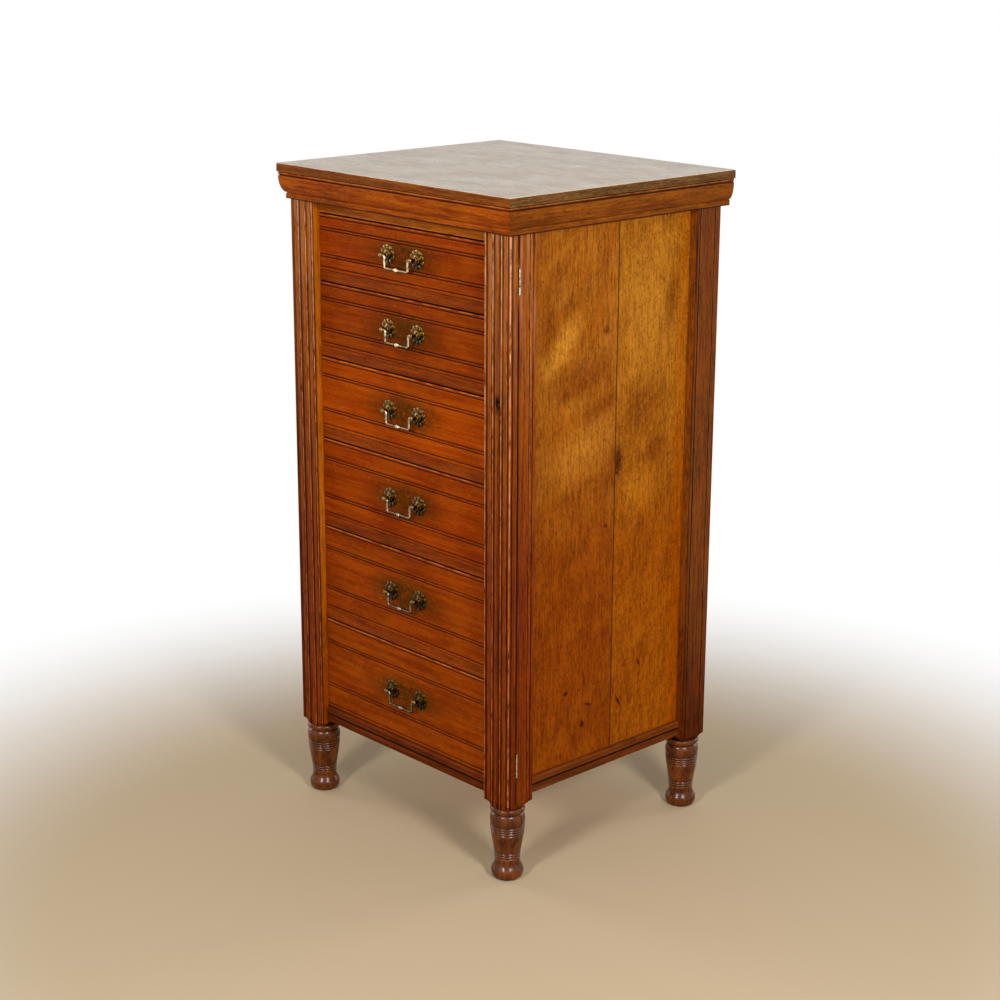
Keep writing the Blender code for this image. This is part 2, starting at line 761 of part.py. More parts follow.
def make_front_rails():
    """The bottom rail and the frieze between the front posts."""
    half = INNER_X - FIT
    section = [(inward - HALF_DEPTH, height) for inward, height in rail_section(False)]
    rail = prism("front rail", section, -half, half, "X")
    rail = add_part("front_bottom_rail", rail, "polished oak", (0, RAIL_RECESS - HALF_DEPTH, RAIL_BOTTOM))
    join(rail, front_tenon(*tenon_levels(RAIL_BOTTOM, RAIL_TOP)))
    back = FACE_Y + FRIEZE_THICK
    section = [(FACE_Y, FRIEZE_BOTTOM), (FACE_Y, CORNICE_SEAT), (-HALF_DEPTH, CORNICE_SEAT)]
    section += [(-HALF_DEPTH, TOP_BOTTOM - FIT), (back, TOP_BOTTOM - FIT), (back, FRIEZE_BOTTOM)]
    frieze = prism("frieze", section, -half, half, "X")
    frieze = add_part("frieze_rail", frieze, "polished oak", (0, FACE_Y, FRIEZE_BOTTOM))
    join(frieze, front_tenon(*tenon_levels(FRIEZE_BOTTOM, TOP_BOTTOM)))


def front_tenon(low, high):
    half = INNER_X + TENON_LENGTH - FIT
    front = TENON_SETBACK - HALF_DEPTH
    return boxes("tenon", [((-half, front, low), (half, front + TENON_WIDTH, high))])


def board_plan(front, wide, front_ears):
    """A board between the posts, with ears in their mortises and wings out to the sides."""
    narrow = INNER_X - FIT
    ear = narrow + TENON_LENGTH
    inner_end = HALF_DEPTH - POST_DEPTH - FIT
    near = HALF_DEPTH - TENON_SETBACK - TENON_WIDTH
    far = HALF_DEPTH - TENON_SETBACK
    half = [(narrow, front)]
    if front_ears:
        half += [(narrow, -far), (ear, -far), (ear, -near), (narrow, -near)]
    half += [(narrow, -inner_end), (wide, -inner_end), (wide, inner_end), (narrow, inner_end)]
    half += [(narrow, near), (ear, near), (ear, far), (narrow, far), (narrow, BACK_INNER - FIT)]
    return half + [(-across, along) for across, along in reversed(half)]


def make_boards():
    """The dust boards that part the drawers, and the bottom board."""
    plan = board_plan(FACE_Y, PANEL_INNER - FIT, True)
    for number, top in enumerate(divider_tops(), 1):
        board = prism("dust board", plan, top - DIVIDER_THICK, top)
        add_part(f"dust_board_{number}", board, "polished oak", (0, FACE_Y, top))
    front = RAIL_RECESS + RAIL_THICK + FIT - HALF_DEPTH
    plan = board_plan(front, HALF_WIDTH - RAIL_RECESS - RAIL_THICK - FIT, False)
    board = prism("bottom board", plan, RAIL_TOP - BOTTOM_THICK, RAIL_TOP)
    add_part("bottom_board", board, "raw oak", (0, front, RAIL_TOP))


def make_back():
    """The back: boards in the back posts' grooves, with joint lines between them."""
    half = INNER_X + GROOVE_DEPTH - FIT
    depth = BOARD_JOINT_WIDTH
    plan = [(-half, BACK_INNER), (half, BACK_INNER), (half, BACK_OUTER)]
    for board in range(1, BACK_BOARDS):
        joint = half - 2 * half * board / BACK_BOARDS
        plan += [(joint + depth / 2, BACK_OUTER), (joint, BACK_OUTER - depth)]
        plan.append((joint - depth / 2, BACK_OUTER))
    plan.append((-half, BACK_OUTER))
    panel = prism("back panel", plan, RAIL_BOTTOM, TOP_BOTTOM - FIT)
    add_part("back_panel", panel, "raw oak", (0, BACK_OUTER, RAIL_BOTTOM))


def make_top():
    half_x = HALF_WIDTH + TOP_OVERHANG_SIDES
    half_y = HALF_DEPTH + TOP_OVERHANG_ENDS
    slab = boxes("top board", [((-half_x, -half_y, TOP_BOTTOM), (half_x, half_y, TOP_BOTTOM + TOP_THICK))])
    top = add_part("top_board", slab, "pale worn oak", (0, 0, TOP_BOTTOM))
    ease = top.modifiers.new("eased edges", "BEVEL")
    ease.width = TOP_EASE
    ease.segments = TOP_EASE_STEPS


def cornice_section(overhang):
    """A cornice as (outward, height): a fillet, an ovolo, a quirk and a bead under the top."""
    bead_low = TOP_BOTTOM - FIT - CORNICE_BEAD
    ovolo_top = bead_low - CORNICE_QUIRK
    ovolo_foot = CORNICE_BOTTOM + CORNICE_FOOT_HEIGHT
    out = overhang - CORNICE_SET_BACK
    foot = CORNICE_FOOT_OUT
    inner = foot - CORNICE_QUIRK
    centre = (inner, ovolo_top)
    points = [(FIT, CORNICE_BOTTOM), (foot, CORNICE_BOTTOM)]
    points += [(foot, ovolo_foot - CORNICE_QUIRK), (inner, ovolo_foot)]
    points += arc(centre, (out - inner, ovolo_top - ovolo_foot), -OVOLO_SWEEP, OVOLO_SWEEP, OVOLO_STEPS)
    points += [(out - CORNICE_QUIRK, ovolo_top), (out - CORNICE_QUIRK, bead_low)]
    bead = (out - CORNICE_BEAD / 2, bead_low + CORNICE_BEAD / 2)
    points += arc(bead, (CORNICE_BEAD / 2, CORNICE_BEAD / 2), -90, 180, BEAD_STEPS)
    return points + [(FIT, TOP_BOTTOM - FIT)]


def mitred(mesh, axis, ends):
    """Slides the ends of a moulding out with its projection. Each end gives its place and its slope."""
    across = 1 - axis
    face = HALF_DEPTH if axis == 0 else HALF_WIDTH
    for vert in mesh.vertices:
        outward = abs(vert.co[across]) - face
        place, slope = ends[0] if vert.co[axis] < 0 else ends[1]
        vert.co[axis] = place + slope * outward
    return mesh


def make_cornice():
    """Three mouldings, mitred at the front corners and cut square at the back."""
    front = [(-HALF_DEPTH - outward, height) for outward, height in cornice_section(TOP_OVERHANG_ENDS)]
    piece = prism("front cornice", front, -HALF_WIDTH, HALF_WIDTH, "X")
    share = TOP_OVERHANG_SIDES / TOP_OVERHANG_ENDS
    place = HALF_WIDTH - FIT
    piece = mitred(piece, 0, ((-place, -share), (place, share)))
    add_part("cornice_front", piece, "dark oak", (0, -HALF_DEPTH, CORNICE_BOTTOM))
    for name, right in (("left", -1), ("right", 1)):
        section = cornice_section(TOP_OVERHANG_SIDES)
        side = [(right * (HALF_WIDTH + outward), height) for outward, height in section]
        piece = prism("side cornice", side, -HALF_DEPTH, HALF_DEPTH, "Y")
        rear = HALF_DEPTH + TOP_OVERHANG_ENDS - TOP_EASE
        piece = mitred(piece, 1, ((FIT - HALF_DEPTH, -1 / share), (rear, 0)))
        add_part(f"cornice_{name}", piece, "dark oak", (right * HALF_WIDTH, 0, CORNICE_BOTTOM))


def hinge_heights():
    """The middles of the upper and the lower hinge."""
    return STILE_TOP - UPPER_HINGE_DROP, STILE_BOTTOM + LOWER_HINGE_RISE


def hinge_recess(centre, side):
    """The shallow recess for one leaf and the knuckle. Side is 1 in the post and -1 in the stile."""
    inner = HALF_WIDTH - HINGE_LEAF - FIT
    relief = HINGE_X - KNUCKLE_RADIUS - 2 * FIT
    leaf = SEAM_Y + side * (HINGE_LEAF_THICK + 2 * FIT)
    knuckle = SEAM_Y + side * (KNUCKLE_RADIUS + 2 * FIT)
    outside = SEAM_Y - side * CUT_OVER
    beyond = HALF_WIDTH + CUT_OVER
    plan = [(inner, outside), (beyond, outside), (beyond, knuckle), (relief, knuckle)]
    plan += [(relief, leaf), (inner, leaf)]
    half = HINGE_LENGTH / 2 + FIT
    return prism("hinge recess", plan, centre - half, centre + half)


def make_hinge(name, centre, stile_pivot):
    """A butt hinge: the post leaf carries the pin, and the stile leaf turns on it."""
    third = HINGE_LENGTH / 3
    low = centre - HINGE_LENGTH / 2
    levels = [low, low + third, low + 2 * third, low + HINGE_LENGTH]
    inner = HALF_WIDTH - HINGE_LEAF
    notch = HINGE_X - KNUCKLE_RADIUS - 2 * FIT
    gap = FIT / 2
    plates = {
        "post": [(HINGE_X, levels[0]), (HINGE_X, levels[1] - gap), (notch, levels[1] - gap)]
        + [(notch, levels[2] + gap), (HINGE_X, levels[2] + gap), (HINGE_X, levels[3])],
        "stile": [(notch, levels[0]), (notch, levels[1] + gap), (HINGE_X, levels[1] + gap)]
        + [(HINGE_X, levels[2] - gap), (notch, levels[2] - gap), (notch, levels[3])],
    }
    for owner, side in (("post", 1), ("stile", -1)):
        outline = plates[owner] + [(inner, levels[3]), (inner, levels[0])]
        faces = sorted((SEAM_Y + side * gap, SEAM_Y + side * (gap + HINGE_LEAF_THICK)))
        plate = prism(f"{name} leaf", outline, *faces, "Y")
        parent = stile_pivot if side < 0 else None
        leaf = add_part(f"{name}_hinge_{owner}_leaf", plate, "aged brass", (HINGE_X, SEAM_Y, centre), parent)
        size = third - 2 * gap
        middles = [centre] if side < 0 else [centre - third, centre + third]
        for middle in middles:
            join(leaf, circle("knuckle", KNUCKLE_RADIUS, KNUCKLE_STEPS, (HINGE_X, SEAM_Y, middle), size, "Z"))
        pin_at = (HINGE_X, SEAM_Y, centre)
        if side > 0:
            join(leaf, circle("hinge pin", HINGE_PIN_RADIUS, PIN_STEPS, pin_at, HINGE_LENGTH - third, "Z"))
        else:
            bore = HINGE_PIN_RADIUS + FIT
            cut(leaf, circle("hinge bore", bore, PIN_STEPS, pin_at, HINGE_LENGTH, "Z"))


def keyhole(front, back):
    """A keyhole from front to back: a round eye over a narrow slot."""
    half = KEYHOLE_SLOT_WIDTH / 2
    open_angle = math.degrees(math.asin(half / KEYHOLE_RADIUS))
    centre = (LOCK_X, KEYHOLE_Z)
    sweep = 360 - 2 * open_angle
    outline = arc(centre, (KEYHOLE_RADIUS, KEYHOLE_RADIUS), open_angle - 90, sweep, KEYHOLE_STEPS)
    foot = KEYHOLE_Z - KEYHOLE_SLOT_LENGTH
    outline += [(LOCK_X - half, foot), (LOCK_X + half, foot)]
    return prism("keyhole", outline, front, back, "Y")


def bolt_y():
    """The middle of the lock bolt's thickness."""
    return SEAM_Y + LOCK_PROUD / 2


def make_stile():
    """The locking stile with its hinges, and the lock that shoots into the post behind it."""
    stile_pivot = pivot("locking_stile_pivot", (HINGE_X, SEAM_Y, STILE_BOTTOM))
    plan = at_corner(stile_outline(), 1, -1)
    blank = prism("locking stile", plan, STILE_BOTTOM, STILE_TOP)
    stile = add_part("locking_stile", blank, "dark oak", (HINGE_X, SEAM_Y, STILE_BOTTOM), stile_pivot)
    for name, centre in zip(("upper", "lower"), hinge_heights()):
        cut(stile, hinge_recess(centre, -1))
        make_hinge(name, centre, stile_pivot)
    half_x = LOCK_WIDTH / 2
    half_z = LOCK_HEIGHT / 2
    let_in = SEAM_Y - LOCK_LET_IN
    proud = SEAM_Y + LOCK_PROUD
    low = (LOCK_X - half_x - FIT, let_in - FIT, KEYHOLE_Z - half_z - FIT)
    high = (LOCK_X + half_x + FIT, SEAM_Y + CUT_OVER, KEYHOLE_Z + half_z + FIT)
    cut(stile, boxes("lock recess", [(low, high)]))
    cut(stile, keyhole(-HALF_DEPTH - CUT_OVER, let_in + CUT_OVER))
    low = (LOCK_X - half_x, let_in, KEYHOLE_Z - half_z)
    block = boxes("lock case", [(low, (LOCK_X + half_x, proud, KEYHOLE_Z + half_z))])
    case = add_part("lock_case", block, "dark iron", (LOCK_X, let_in, KEYHOLE_Z), stile_pivot)
    cut(case, keyhole(let_in - CUT_OVER, bolt_y()))
    end = LOCK_X - half_x
    top = BOLT_Z + BOLT_HEIGHT / 2
    bottom = BOLT_Z - BOLT_HEIGHT / 2
    front = bolt_y() - BOLT_THICK / 2
    back = bolt_y() + BOLT_THICK / 2
    low = (end - CUT_OVER, front - FIT, bottom - FIT)
    cut(case, boxes("bolt way", [(low, (end + BOLT_LENGTH + FIT, back + FIT, top + FIT))]))
    bolt_pivot = pivot("lock_bolt_slide", (end, bolt_y(), BOLT_Z), stile_pivot)
    bar = boxes("bolt", [((end, front, bottom), (end + BOLT_LENGTH, back, top))])
    add_part("lock_bolt", bar, "aged brass", (end, bolt_y(), BOLT_Z), bolt_pivot)


def front_section(height, inset):
    """A drawer front as (behind, height): edge beads, two pairs of incised lines and the bottom's slot."""
    bead = FRONT_BEAD / 2
    lines = [FRONT_BEAD + FRONT_QUIRK / 2, inset, inset + LINE_SPACING]
    lines += [height - line for line in reversed(lines)]
    points = arc((bead, bead), (bead, bead), -90, -90, FRONT_BEAD_STEPS)
    for line in lines:
        points += [(0, line - FRONT_QUIRK / 2), (FRONT_LINE_DEPTH, line), (0, line + FRONT_QUIRK / 2)]
    points += arc((bead, height - bead), (bead, bead), 180, -90, FRONT_BEAD_STEPS)
    slot_low = TRAY_BOTTOM_LIFT - FIT
    slot_high = TRAY_BOTTOM_LIFT + TRAY_BOTTOM + FIT
    floor = FRONT_THICK - SLOT_DEPTH
    points += [(FRONT_THICK, height), (FRONT_THICK, slot_high), (floor, slot_high)]
    return points + [(floor, slot_low), (FRONT_THICK, slot_low), (FRONT_THICK, 0)]


def make_drawer_front(name, height, inset, bottom, slide):
    half = INNER_X - END_GAP
    section = [(FACE_Y + behind, bottom + up) for behind, up in front_section(height, inset)]
    blank = prism("drawer front", section, -half, half, "X")
    front = add_part(f"{name}_front", blank, "polished oak", (0, FACE_Y, bottom), slide)
    lap = FACE_Y + FRONT_LAP
    back = FACE_Y + FRONT_THICK + CUT_OVER
    end = half - TRAY_SIDE - FIT
    laps = []
    for left, right in ((-half - CUT_OVER, -end), (end, half + CUT_OVER)):
        laps.append(((left, lap, bottom - CUT_OVER), (right, back, bottom + height + CUT_OVER)))
    cut(front, boxes("laps for the sides", laps))
    for side in (-1, 1):
        at = (HANDLE_OFFSET + side * HANDLE_SPACING / 2, FACE_Y + FRONT_THICK / 2, bottom + height / 2)
        cut(front, circle("shank hole", SHANK_RADIUS + FIT, HANDLE_STEPS, at, FRONT_THICK + CUT_OVER, "Y"))


def make_tray(name, height, bottom, slide):
    """The drawer's sides, back and bottom, lapped and slotted into its front."""
    half = INNER_X - END_GAP
    inner = half - TRAY_SIDE
    lap = FACE_Y + FRONT_LAP + FIT
    rear = BACK_INNER - TRAY_REAR_GAP
    plan = [(-half, lap), (-inner, lap), (-inner, rear - TRAY_BACK), (inner, rear - TRAY_BACK)]
    plan += [(inner, lap), (half, lap), (half, rear), (-half, rear)]
    walls = prism("tray", plan, bottom, bottom + height - TRAY_HEAD_DROP)
    tray = add_part(f"{name}_tray", walls, "raw oak", (0, FACE_Y + FRONT_THICK, bottom), slide)
    front = FACE_Y + FRONT_THICK - SLOT_DEPTH + FIT
    floor = bottom + TRAY_BOTTOM_LIFT
    back = FACE_Y + FRONT_THICK
    low = (-inner - TRAY_SIDE / 2, back + FIT, floor)
    high = (inner + TRAY_SIDE / 2, rear - TRAY_BACK / 2, floor + TRAY_BOTTOM)
    join(tray, boxes("tray bottom", [(low, high)]))
    low = (FIT - inner, front, floor)
    join(tray, boxes("bottom tongue", [(low, (inner - FIT, back + TRAY_SIDE, floor + TRAY_BOTTOM))]))


def pommel_profile():
    """A handle post from its ball to the nut inside the drawer, as (radius, outward)."""
    points = arc((0, POMMEL_OUT), (POMMEL_RADIUS, POMMEL_RADIUS), POMMEL_START, POMMEL_SWEEP, POMMEL_STEPS)
    points.insert(0, (0, POMMEL_OUT + POMMEL_RADIUS))
    boss_top = FIT + ROSE_BOSS_HEIGHT
    inner = -FRONT_THICK - FIT
    points += [(POMMEL_NECK, boss_top + ROSE_THICK), (POMMEL_NECK + ROSE_THICK, boss_top)]
    points += [(ROSE_BOSS_RADIUS, FIT + ROSE_THICK - ROSE_BOSS_SINK), (SHANK_RADIUS, FIT)]
    points += [(SHANK_RADIUS, inner), (NUT_RADIUS, inner), (NUT_RADIUS, inner - NUT_THICK)]
    return points + [(0, inner - NUT_THICK)]


def rose_outline():
    """The scalloped edge of a rose."""
    steps = ROSE_LOBE_STEPS * ROSE_LOBES
    points = []
    for step in range(steps):
        angle = 2 * math.pi * step / steps
        lobe = abs(math.sin(angle * ROSE_LOBES / 2))
        radius = ROSE_RADIUS - ROSE_LOBE_DEPTH * (1 - lobe)
        points.append((radius * math.cos(angle), radius * math.sin(angle)))
    return points


def rose_mesh():
    """One rose with its pommel, shank and nut, about the middle of its back."""
    plate = prism("rose", rose_outline(), -FIT - ROSE_THICK, -FIT, "Y")
    rose = add_part("rose", plate, "aged brass", (0, 0, 0))
    join(rose, turned("pommel", pommel_profile(), HANDLE_STEPS, Vector(), "front"))
    hole_at = (0, -POMMEL_OUT, 0)
    cut(rose, circle("pin hole", PIN_HOLE_RADIUS, HANDLE_STEPS, hole_at, 4 * POMMEL_RADIUS, "X"))
    return baked(rose)


def bail_path():
    """The bail's wire from one pin to the other, as (across, up, radius share)."""
    corner = BAIL_CORNER
    pin_end = BAIL_ARM_X + BAIL_RADIUS + PIN_PLAY + BAIL_PIN_LENGTH
    half = [(pin_end, 0, 1)]
    for across, up in arc((BAIL_ARM_X + corner, -corner), (corner, corner), 90, 90, BAIL_CORNER_STEPS):
        half.append((across, up, 1))
    low = (BAIL_ARM_X - corner, corner - BAIL_DROP)
    for across, up in arc(low, (corner, corner), 0, -90, BAIL_CORNER_STEPS):
        half.append((across, up, 1))
    half.append((BAIL_ARM_X - 2 * corner, -BAIL_DROP, BAIL_BAR_SHARE))
    return half + [(-across, up, share) for across, up, share in reversed(half)]


def bail_mesh():
    """One bail about the middle of its hinge axis."""
    curve = bpy.data.curves.new("bail", "CURVE")
    curve.dimensions = "3D"
    curve.bevel_depth = BAIL_RADIUS
    curve.bevel_resolution = 1
    curve.use_fill_caps = True
    path = bail_path()
    spline = curve.splines.new("POLY")
    spline.points.add(len(path) - 1)
    for point, (across, up, share) in zip(spline.points, path):
        point.co = (across, 0, up, 1)
        point.radius = share
    bail = add_part("bail", from_curve("bail", curve), "aged brass", (0, 0, 0))
    work = bmesh.new()
    bmesh.ops.create_uvsphere(work, u_segments=HANDLE_STEPS, v_segments=BAIL_BEAD_RINGS, radius=1)
    bmesh.ops.rotate(work, verts=work.verts, cent=(0, 0, 0), matrix=Matrix.Rotation(math.pi / 2, 3, "Y"))
    bmesh.ops.scale(work, verts=work.verts, vec=(BAIL_BEAD_LENGTH / 2, BAIL_BEAD_RADIUS, BAIL_BEAD_RADIUS))
    bmesh.ops.translate(work, verts=work.verts, vec=(0, 0, -BAIL_DROP))
    bead = bpy.data.meshes.new("bail bead")
    work.to_mesh(bead)
    work.free()
    join(bail, bead)
    return baked(bail)


def make_drawers():
    rose = rose_mesh()
    bail = bail_mesh()
    for mesh in (rose, bail):
        for face in mesh.polygons:
            face.use_smooth = True
        mesh.set_sharp_from_angle(angle=math.radians(SHARP_ANGLE))
    for index, (height, bottom) in enumerate(zip(DRAWER_HEIGHTS, drawer_bottoms())):
        name = f"drawer_{index + 1}"
        slide = pivot(f"{name}_slide", (0, FACE_Y, bottom))
        make_drawer_front(name, height, LINE_INSET + index * LINE_INSET_STEP, bottom, slide)
        make_tray(name, height, bottom, slide)
        middle = bottom + height / 2
        for side, right in (("left", -1), ("right", 1)):
            at = (HANDLE_OFFSET + right * HANDLE_SPACING / 2, FACE_Y, middle)
            add_copy(f"{name}_rose_{side}", rose, at, slide)
        axis = (HANDLE_OFFSET, FACE_Y - POMMEL_OUT, middle)
        bail_pivot = pivot(f"{name}_bail_pivot", axis, slide)
        add_copy(f"{name}_bail", bail, axis, bail_pivot)


def add_copy(name, mesh, at, parent):
    """A sub-part that shares its mesh with others like it."""
    part = bpy.data.objects.new(name, mesh)
    part.location = at
    PARTS.objects.link(part)
    keep_place(part, parent)


make_top()
make_cornice()
make_post("post_front_left", -1, -1)
make_post("post_front_right", 1, -1)
make_post("post_back_left", -1, 1)
make_post("post_back_right", 1, 1)
make_side("left", -1)
make_side("right", 1)
make_front_rails()
make_boards()
make_back()
make_stile()
make_drawers()
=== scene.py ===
"""The looks of an oak Wellington chest: reeded posts on turned feet, six drawers and a locking stile.

Metres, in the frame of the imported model: X along the front, +Y to the back, Z up from the floor.
"""

import math

import bmesh
import bpy
from mathutils import Matrix, Vector


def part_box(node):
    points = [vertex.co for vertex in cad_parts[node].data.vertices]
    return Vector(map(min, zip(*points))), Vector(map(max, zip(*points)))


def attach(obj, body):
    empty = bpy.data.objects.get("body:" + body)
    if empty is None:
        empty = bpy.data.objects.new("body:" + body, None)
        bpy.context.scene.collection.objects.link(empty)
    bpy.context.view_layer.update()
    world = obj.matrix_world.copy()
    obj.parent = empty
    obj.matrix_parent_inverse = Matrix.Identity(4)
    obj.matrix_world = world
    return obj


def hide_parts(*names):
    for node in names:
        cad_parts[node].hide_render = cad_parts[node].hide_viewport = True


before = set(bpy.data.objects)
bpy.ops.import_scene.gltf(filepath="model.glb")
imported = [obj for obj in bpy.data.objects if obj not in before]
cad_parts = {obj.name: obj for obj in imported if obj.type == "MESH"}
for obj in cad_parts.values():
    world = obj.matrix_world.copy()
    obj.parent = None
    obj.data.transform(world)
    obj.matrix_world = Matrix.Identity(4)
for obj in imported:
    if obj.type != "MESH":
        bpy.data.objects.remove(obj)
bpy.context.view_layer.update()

MM = 0.001

# Case, as the solids have it
HALF_WIDTH = 272.5 * MM
HALF_DEPTH = 240.5 * MM
POST_WIDTH = 60 * MM
POST_DEPTH = 57 * MM
SIDE_RECESS = 16 * MM
BACK_RECESS = 6 * MM
PANEL_THICK = 10 * MM
GROOVE_DEPTH = 6 * MM
RAIL_RECESS = 9 * MM
RAIL_THICK = 30 * MM
FIT = 0.3 * MM
CUT_OVER = 2 * MM

# Mouldings on the posts
CORNER_BEAD = 3 * MM
EDGE_BEAD = 6 * MM
SIDE_BEAD = 7 * MM
SMALL_BEAD = 5 * MM
REED = 14 * MM
QUIRK = 2 * MM
FINE_QUIRK = 1.5 * MM
SIDE_BAND = 5 * MM
BACK_BAND = 12 * MM
QUIRK_DEPTH = 3.2 * MM
FLAT_DEPTH = 1 * MM
BEAD_RISE = 2.2 * MM
REED_RISE = 3.4 * MM
ROUND_STEPS = 16
CORNER_STEPS = 18
ARRIS = 0.5 * MM
# A quirk, as shares of its width from its middle and of its depth, and a tone: grime and painted shade in the
# groove
QUIRK_SHAPE = [(-0.3, 0.55, -0.5), (0, 1, -1), (0.3, 0.55, -0.5)]
# The edge of a flat between quirks, as (inset, drop, tone): a pale arris, rubbed and with a painted highlight
FLAT_EDGE = [(0.4 * ARRIS, 0.5 * ARRIS, -0.1), (ARRIS, 0, 1.6), (1.8 * ARRIS, 0, 0.6)]
# The tones over a reed, from its inner side to its outer one: painted light on the inner half and painted
# shade on the outer
REED_TONES = (-0.8, 0, *[0.8] * 6, 0, 0, 0, *[-0.5] * 5, -0.8)
# The tone of a bead: how far it rises at the crest, how narrow that is, and how dark the rest is; the crest
# carries a painted highlight as well as wear, and the rest painted shade
BEAD_TONES = {"bead": (2.5, 11, 0.6), "soft bead": (0.9, 4, 0.35), "corner bead": (2.1, 10, 0.5)}

# Turned feet
FOOT_INSET_SIDE = 28 * MM
FOOT_INSET_END = 26 * MM
PAD_HEIGHT = 26 * MM
PAD_RADIUS = 27.2 * MM
PAD_SWELL = 13 * MM
PAD_FLARE_TOP = 30 * MM
BASE_RADIUS = 20 * MM
WAIST_RADIUS = 21.2 * MM
SHOULDER = 119.5 * MM
WIDEST = 106 * MM
VASE_RADIUS = 29.4 * MM
CREASE_RADIUS = 23 * MM
COLLAR_HEIGHT = 10.5 * MM
COLLAR_RADIUS = 29.4 * MM
COLLAR_SWELL = 4 * MM
NECK_RADIUS = 29 * MM
NECK_TURN = 132 * MM
NECK_FLARE = 41 * MM
NECK_SLOPE = 0.4
NECK_STEP = 1 * MM
FOOT_HEIGHT = 138.5 * MM
RING_PITCH = 4.6 * MM
RING_DEPTH = 1.1 * MM
UPPER_RING_TOP = 97.5 * MM
LOWER_RING_TOP = 48.5 * MM
UPPER_RINGS = 4
LOWER_RINGS = 3
# One incised ring, as shares of the pitch and of the depth, and a tone: painted shade in the groove and a
# painted highlight on the crest below it
RING_SHAPE = [(0, 0.45, -0.3), (0.2, 1, -0.9), (0.4, 0.45, -0.2)]
RING_SHAPE += [(0.5, 0.05, 1.3), (0.62, 0, 0.4), (0.85, 0, 0.1)]
VASE_STEPS = 9
PAD_STEPS = 12
FOOT_STEPS = 72
TURNED_END_GAP = 0.02 * MM

# Locking stile, its hinges and its lock
STILE_THICK = 18 * MM
SEAM_Y = -HALF_DEPTH + STILE_THICK
HINGE_LENGTH = 41 * MM
HINGE_LEAF = 22 * MM
LEAF_THICK = 1.3 * MM
KNUCKLE_RADIUS = 1.4 * MM
KNUCKLE_STEPS = 32
HINGE_X = HALF_WIDTH + 1.2 * MM
# Screws in a hinge leaf, as steps up from its middle and distances from its inner edge
HINGE_SCREWS = [(-1, 8 * MM), (0, 14 * MM), (1, 8 * MM)]
HINGE_SCREW_STEP = 13 * MM
SCREW_RADIUS = 2.4 * MM
SCREW_SLOT = 0.7 * MM
SCREW_PROUD = 0.12 * MM
SCREW_STEPS = 14
LOCK_X = HALF_WIDTH - POST_WIDTH / 2
LOCK_SWING = 3 * MM
LOCK_SCREW_IN = 5 * MM
LOCK_SCREW_UP = 6 * MM
KEYHOLE_EYE = 2.8 * MM
KEYHOLE_SLOT = 2.8 * MM
KEYHOLE_DROP = 8 * MM
KEYHOLE_STEPS = 24
KEYHOLE_Z = (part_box("lock_case")[0].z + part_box("lock_case")[1].z) / 2
BOLT_THROW = 9 * MM

# Panels, cornice, rails and boards
INNER_X = HALF_WIDTH - POST_WIDTH
FACE_Y = -HALF_DEPTH + 14 * MM
PANEL_OUTER = HALF_WIDTH - SIDE_RECESS
BOARD_JOINT = 14 * MM
JOINT_GAP = 0.6 * MM
JOINT_DEPTH = 1.2 * MM
# The joints between the boards of the back, and the boards' tones
BACK_JOINTS = (104 * MM, -18 * MM, -127 * MM)
BACK_TONES = (0.1, -0.16, 0.3, -0.06)
CORNICE_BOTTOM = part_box("cornice_front")[0].z
TOP_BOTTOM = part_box("top_board")[0].z
CORNICE_BEAD = 4.5 * MM
CORNICE_QUIRK = 1.6 * MM
CORNICE_SETBACK = 1.8 * MM
FILLET_OUT = 4.5 * MM
OVOLO_FOOT = 10 * MM
RAIL_COVE = 12.5 * MM
COVE_WIDTH = 3 * MM
RAIL_NOSE = 5 * MM
DIVIDER_LIP = 1.2 * MM
DIVIDER_STRIP = 16 * MM
FRIEZE_THICK = 26 * MM
FRIEZE_SEAT = 5 * MM
TOP_POINT_SPACING = 12 * MM
RUN_STEP = 60 * MM
STILE_STEP = 30 * MM
SIDES = (("left", -1), ("right", 1))

# Drawers
FRONT_STEP = 40 * MM
FRONT_THICK = 20 * MM
FRONT_LAP = 7 * MM
FRONT_BEAD = 5 * MM
LINE_WIDTH = 2.1 * MM
LINE_DEPTH = 1.3 * MM
LINE_SPACING = 4.7 * MM
LINE_INSET = 23 * MM
LINE_INSET_STEP = 3.5 * MM
# An incised line, as half widths from its middle, depth and tone: grime and painted shade in the groove, and
# a painted highlight on the arris below it, which faces up
LINE_SHAPE = [(-2.2, 0, 0), (-1.3, 0, 1.2), (-1.05, 0, 1), (-1, 0.1 * MM, -0.7), (0, LINE_DEPTH, -0.85)]
LINE_SHAPE += [(1, 0.1 * MM, -0.7), (1.1, 0, -0.3), (1.8, 0, 0)]
TAIL_PITCH = 32 * MM
TAIL_SLOPE = 1.6 * MM
PIN_HALF = 3.2 * MM
TRAY_CLEARANCE = 0.15 * MM
TRAY_HOUSING = 5 * MM
TRAY_SIDE = 10 * MM
TRAY_BACK = 9 * MM
TRAY_BOTTOM = 6 * MM
TRAY_BOTTOM_LIFT = 10 * MM

# Handles
HANDLE_X = 4 * MM
HANDLE_SPACING = 73 * MM
ROSE_RADIUS = 17 * MM
ROSE_LOBES = 10
ROSE_SPOKES = 12 * ROSE_LOBES
ROSE_SCALLOP = 1.8 * MM
ROSE_RIM = 0.8 * MM
PETAL_RISE = 1.1 * MM
PETAL_GAP_RISE = 0.3 * MM
BOSS_FOOT = 0.9 * MM
BOSS_RISE = 3.6 * MM
# Where the rose's boss ends and its petals begin, and where its rings lie, as shares of its radius
ROSE_BOSS = 0.58
ROSE_RINGS = (1, 0.985, 0.96, 0.92, 0.87, 0.81, 0.75, 0.69, 0.64, 0.6, 0.57, 0.54, 0.48, 0.4, 0.3, 0.2)
POMMEL_OUT = 14 * MM
POMMEL_RADIUS = 4.8 * MM
POMMEL_STEPS = 32
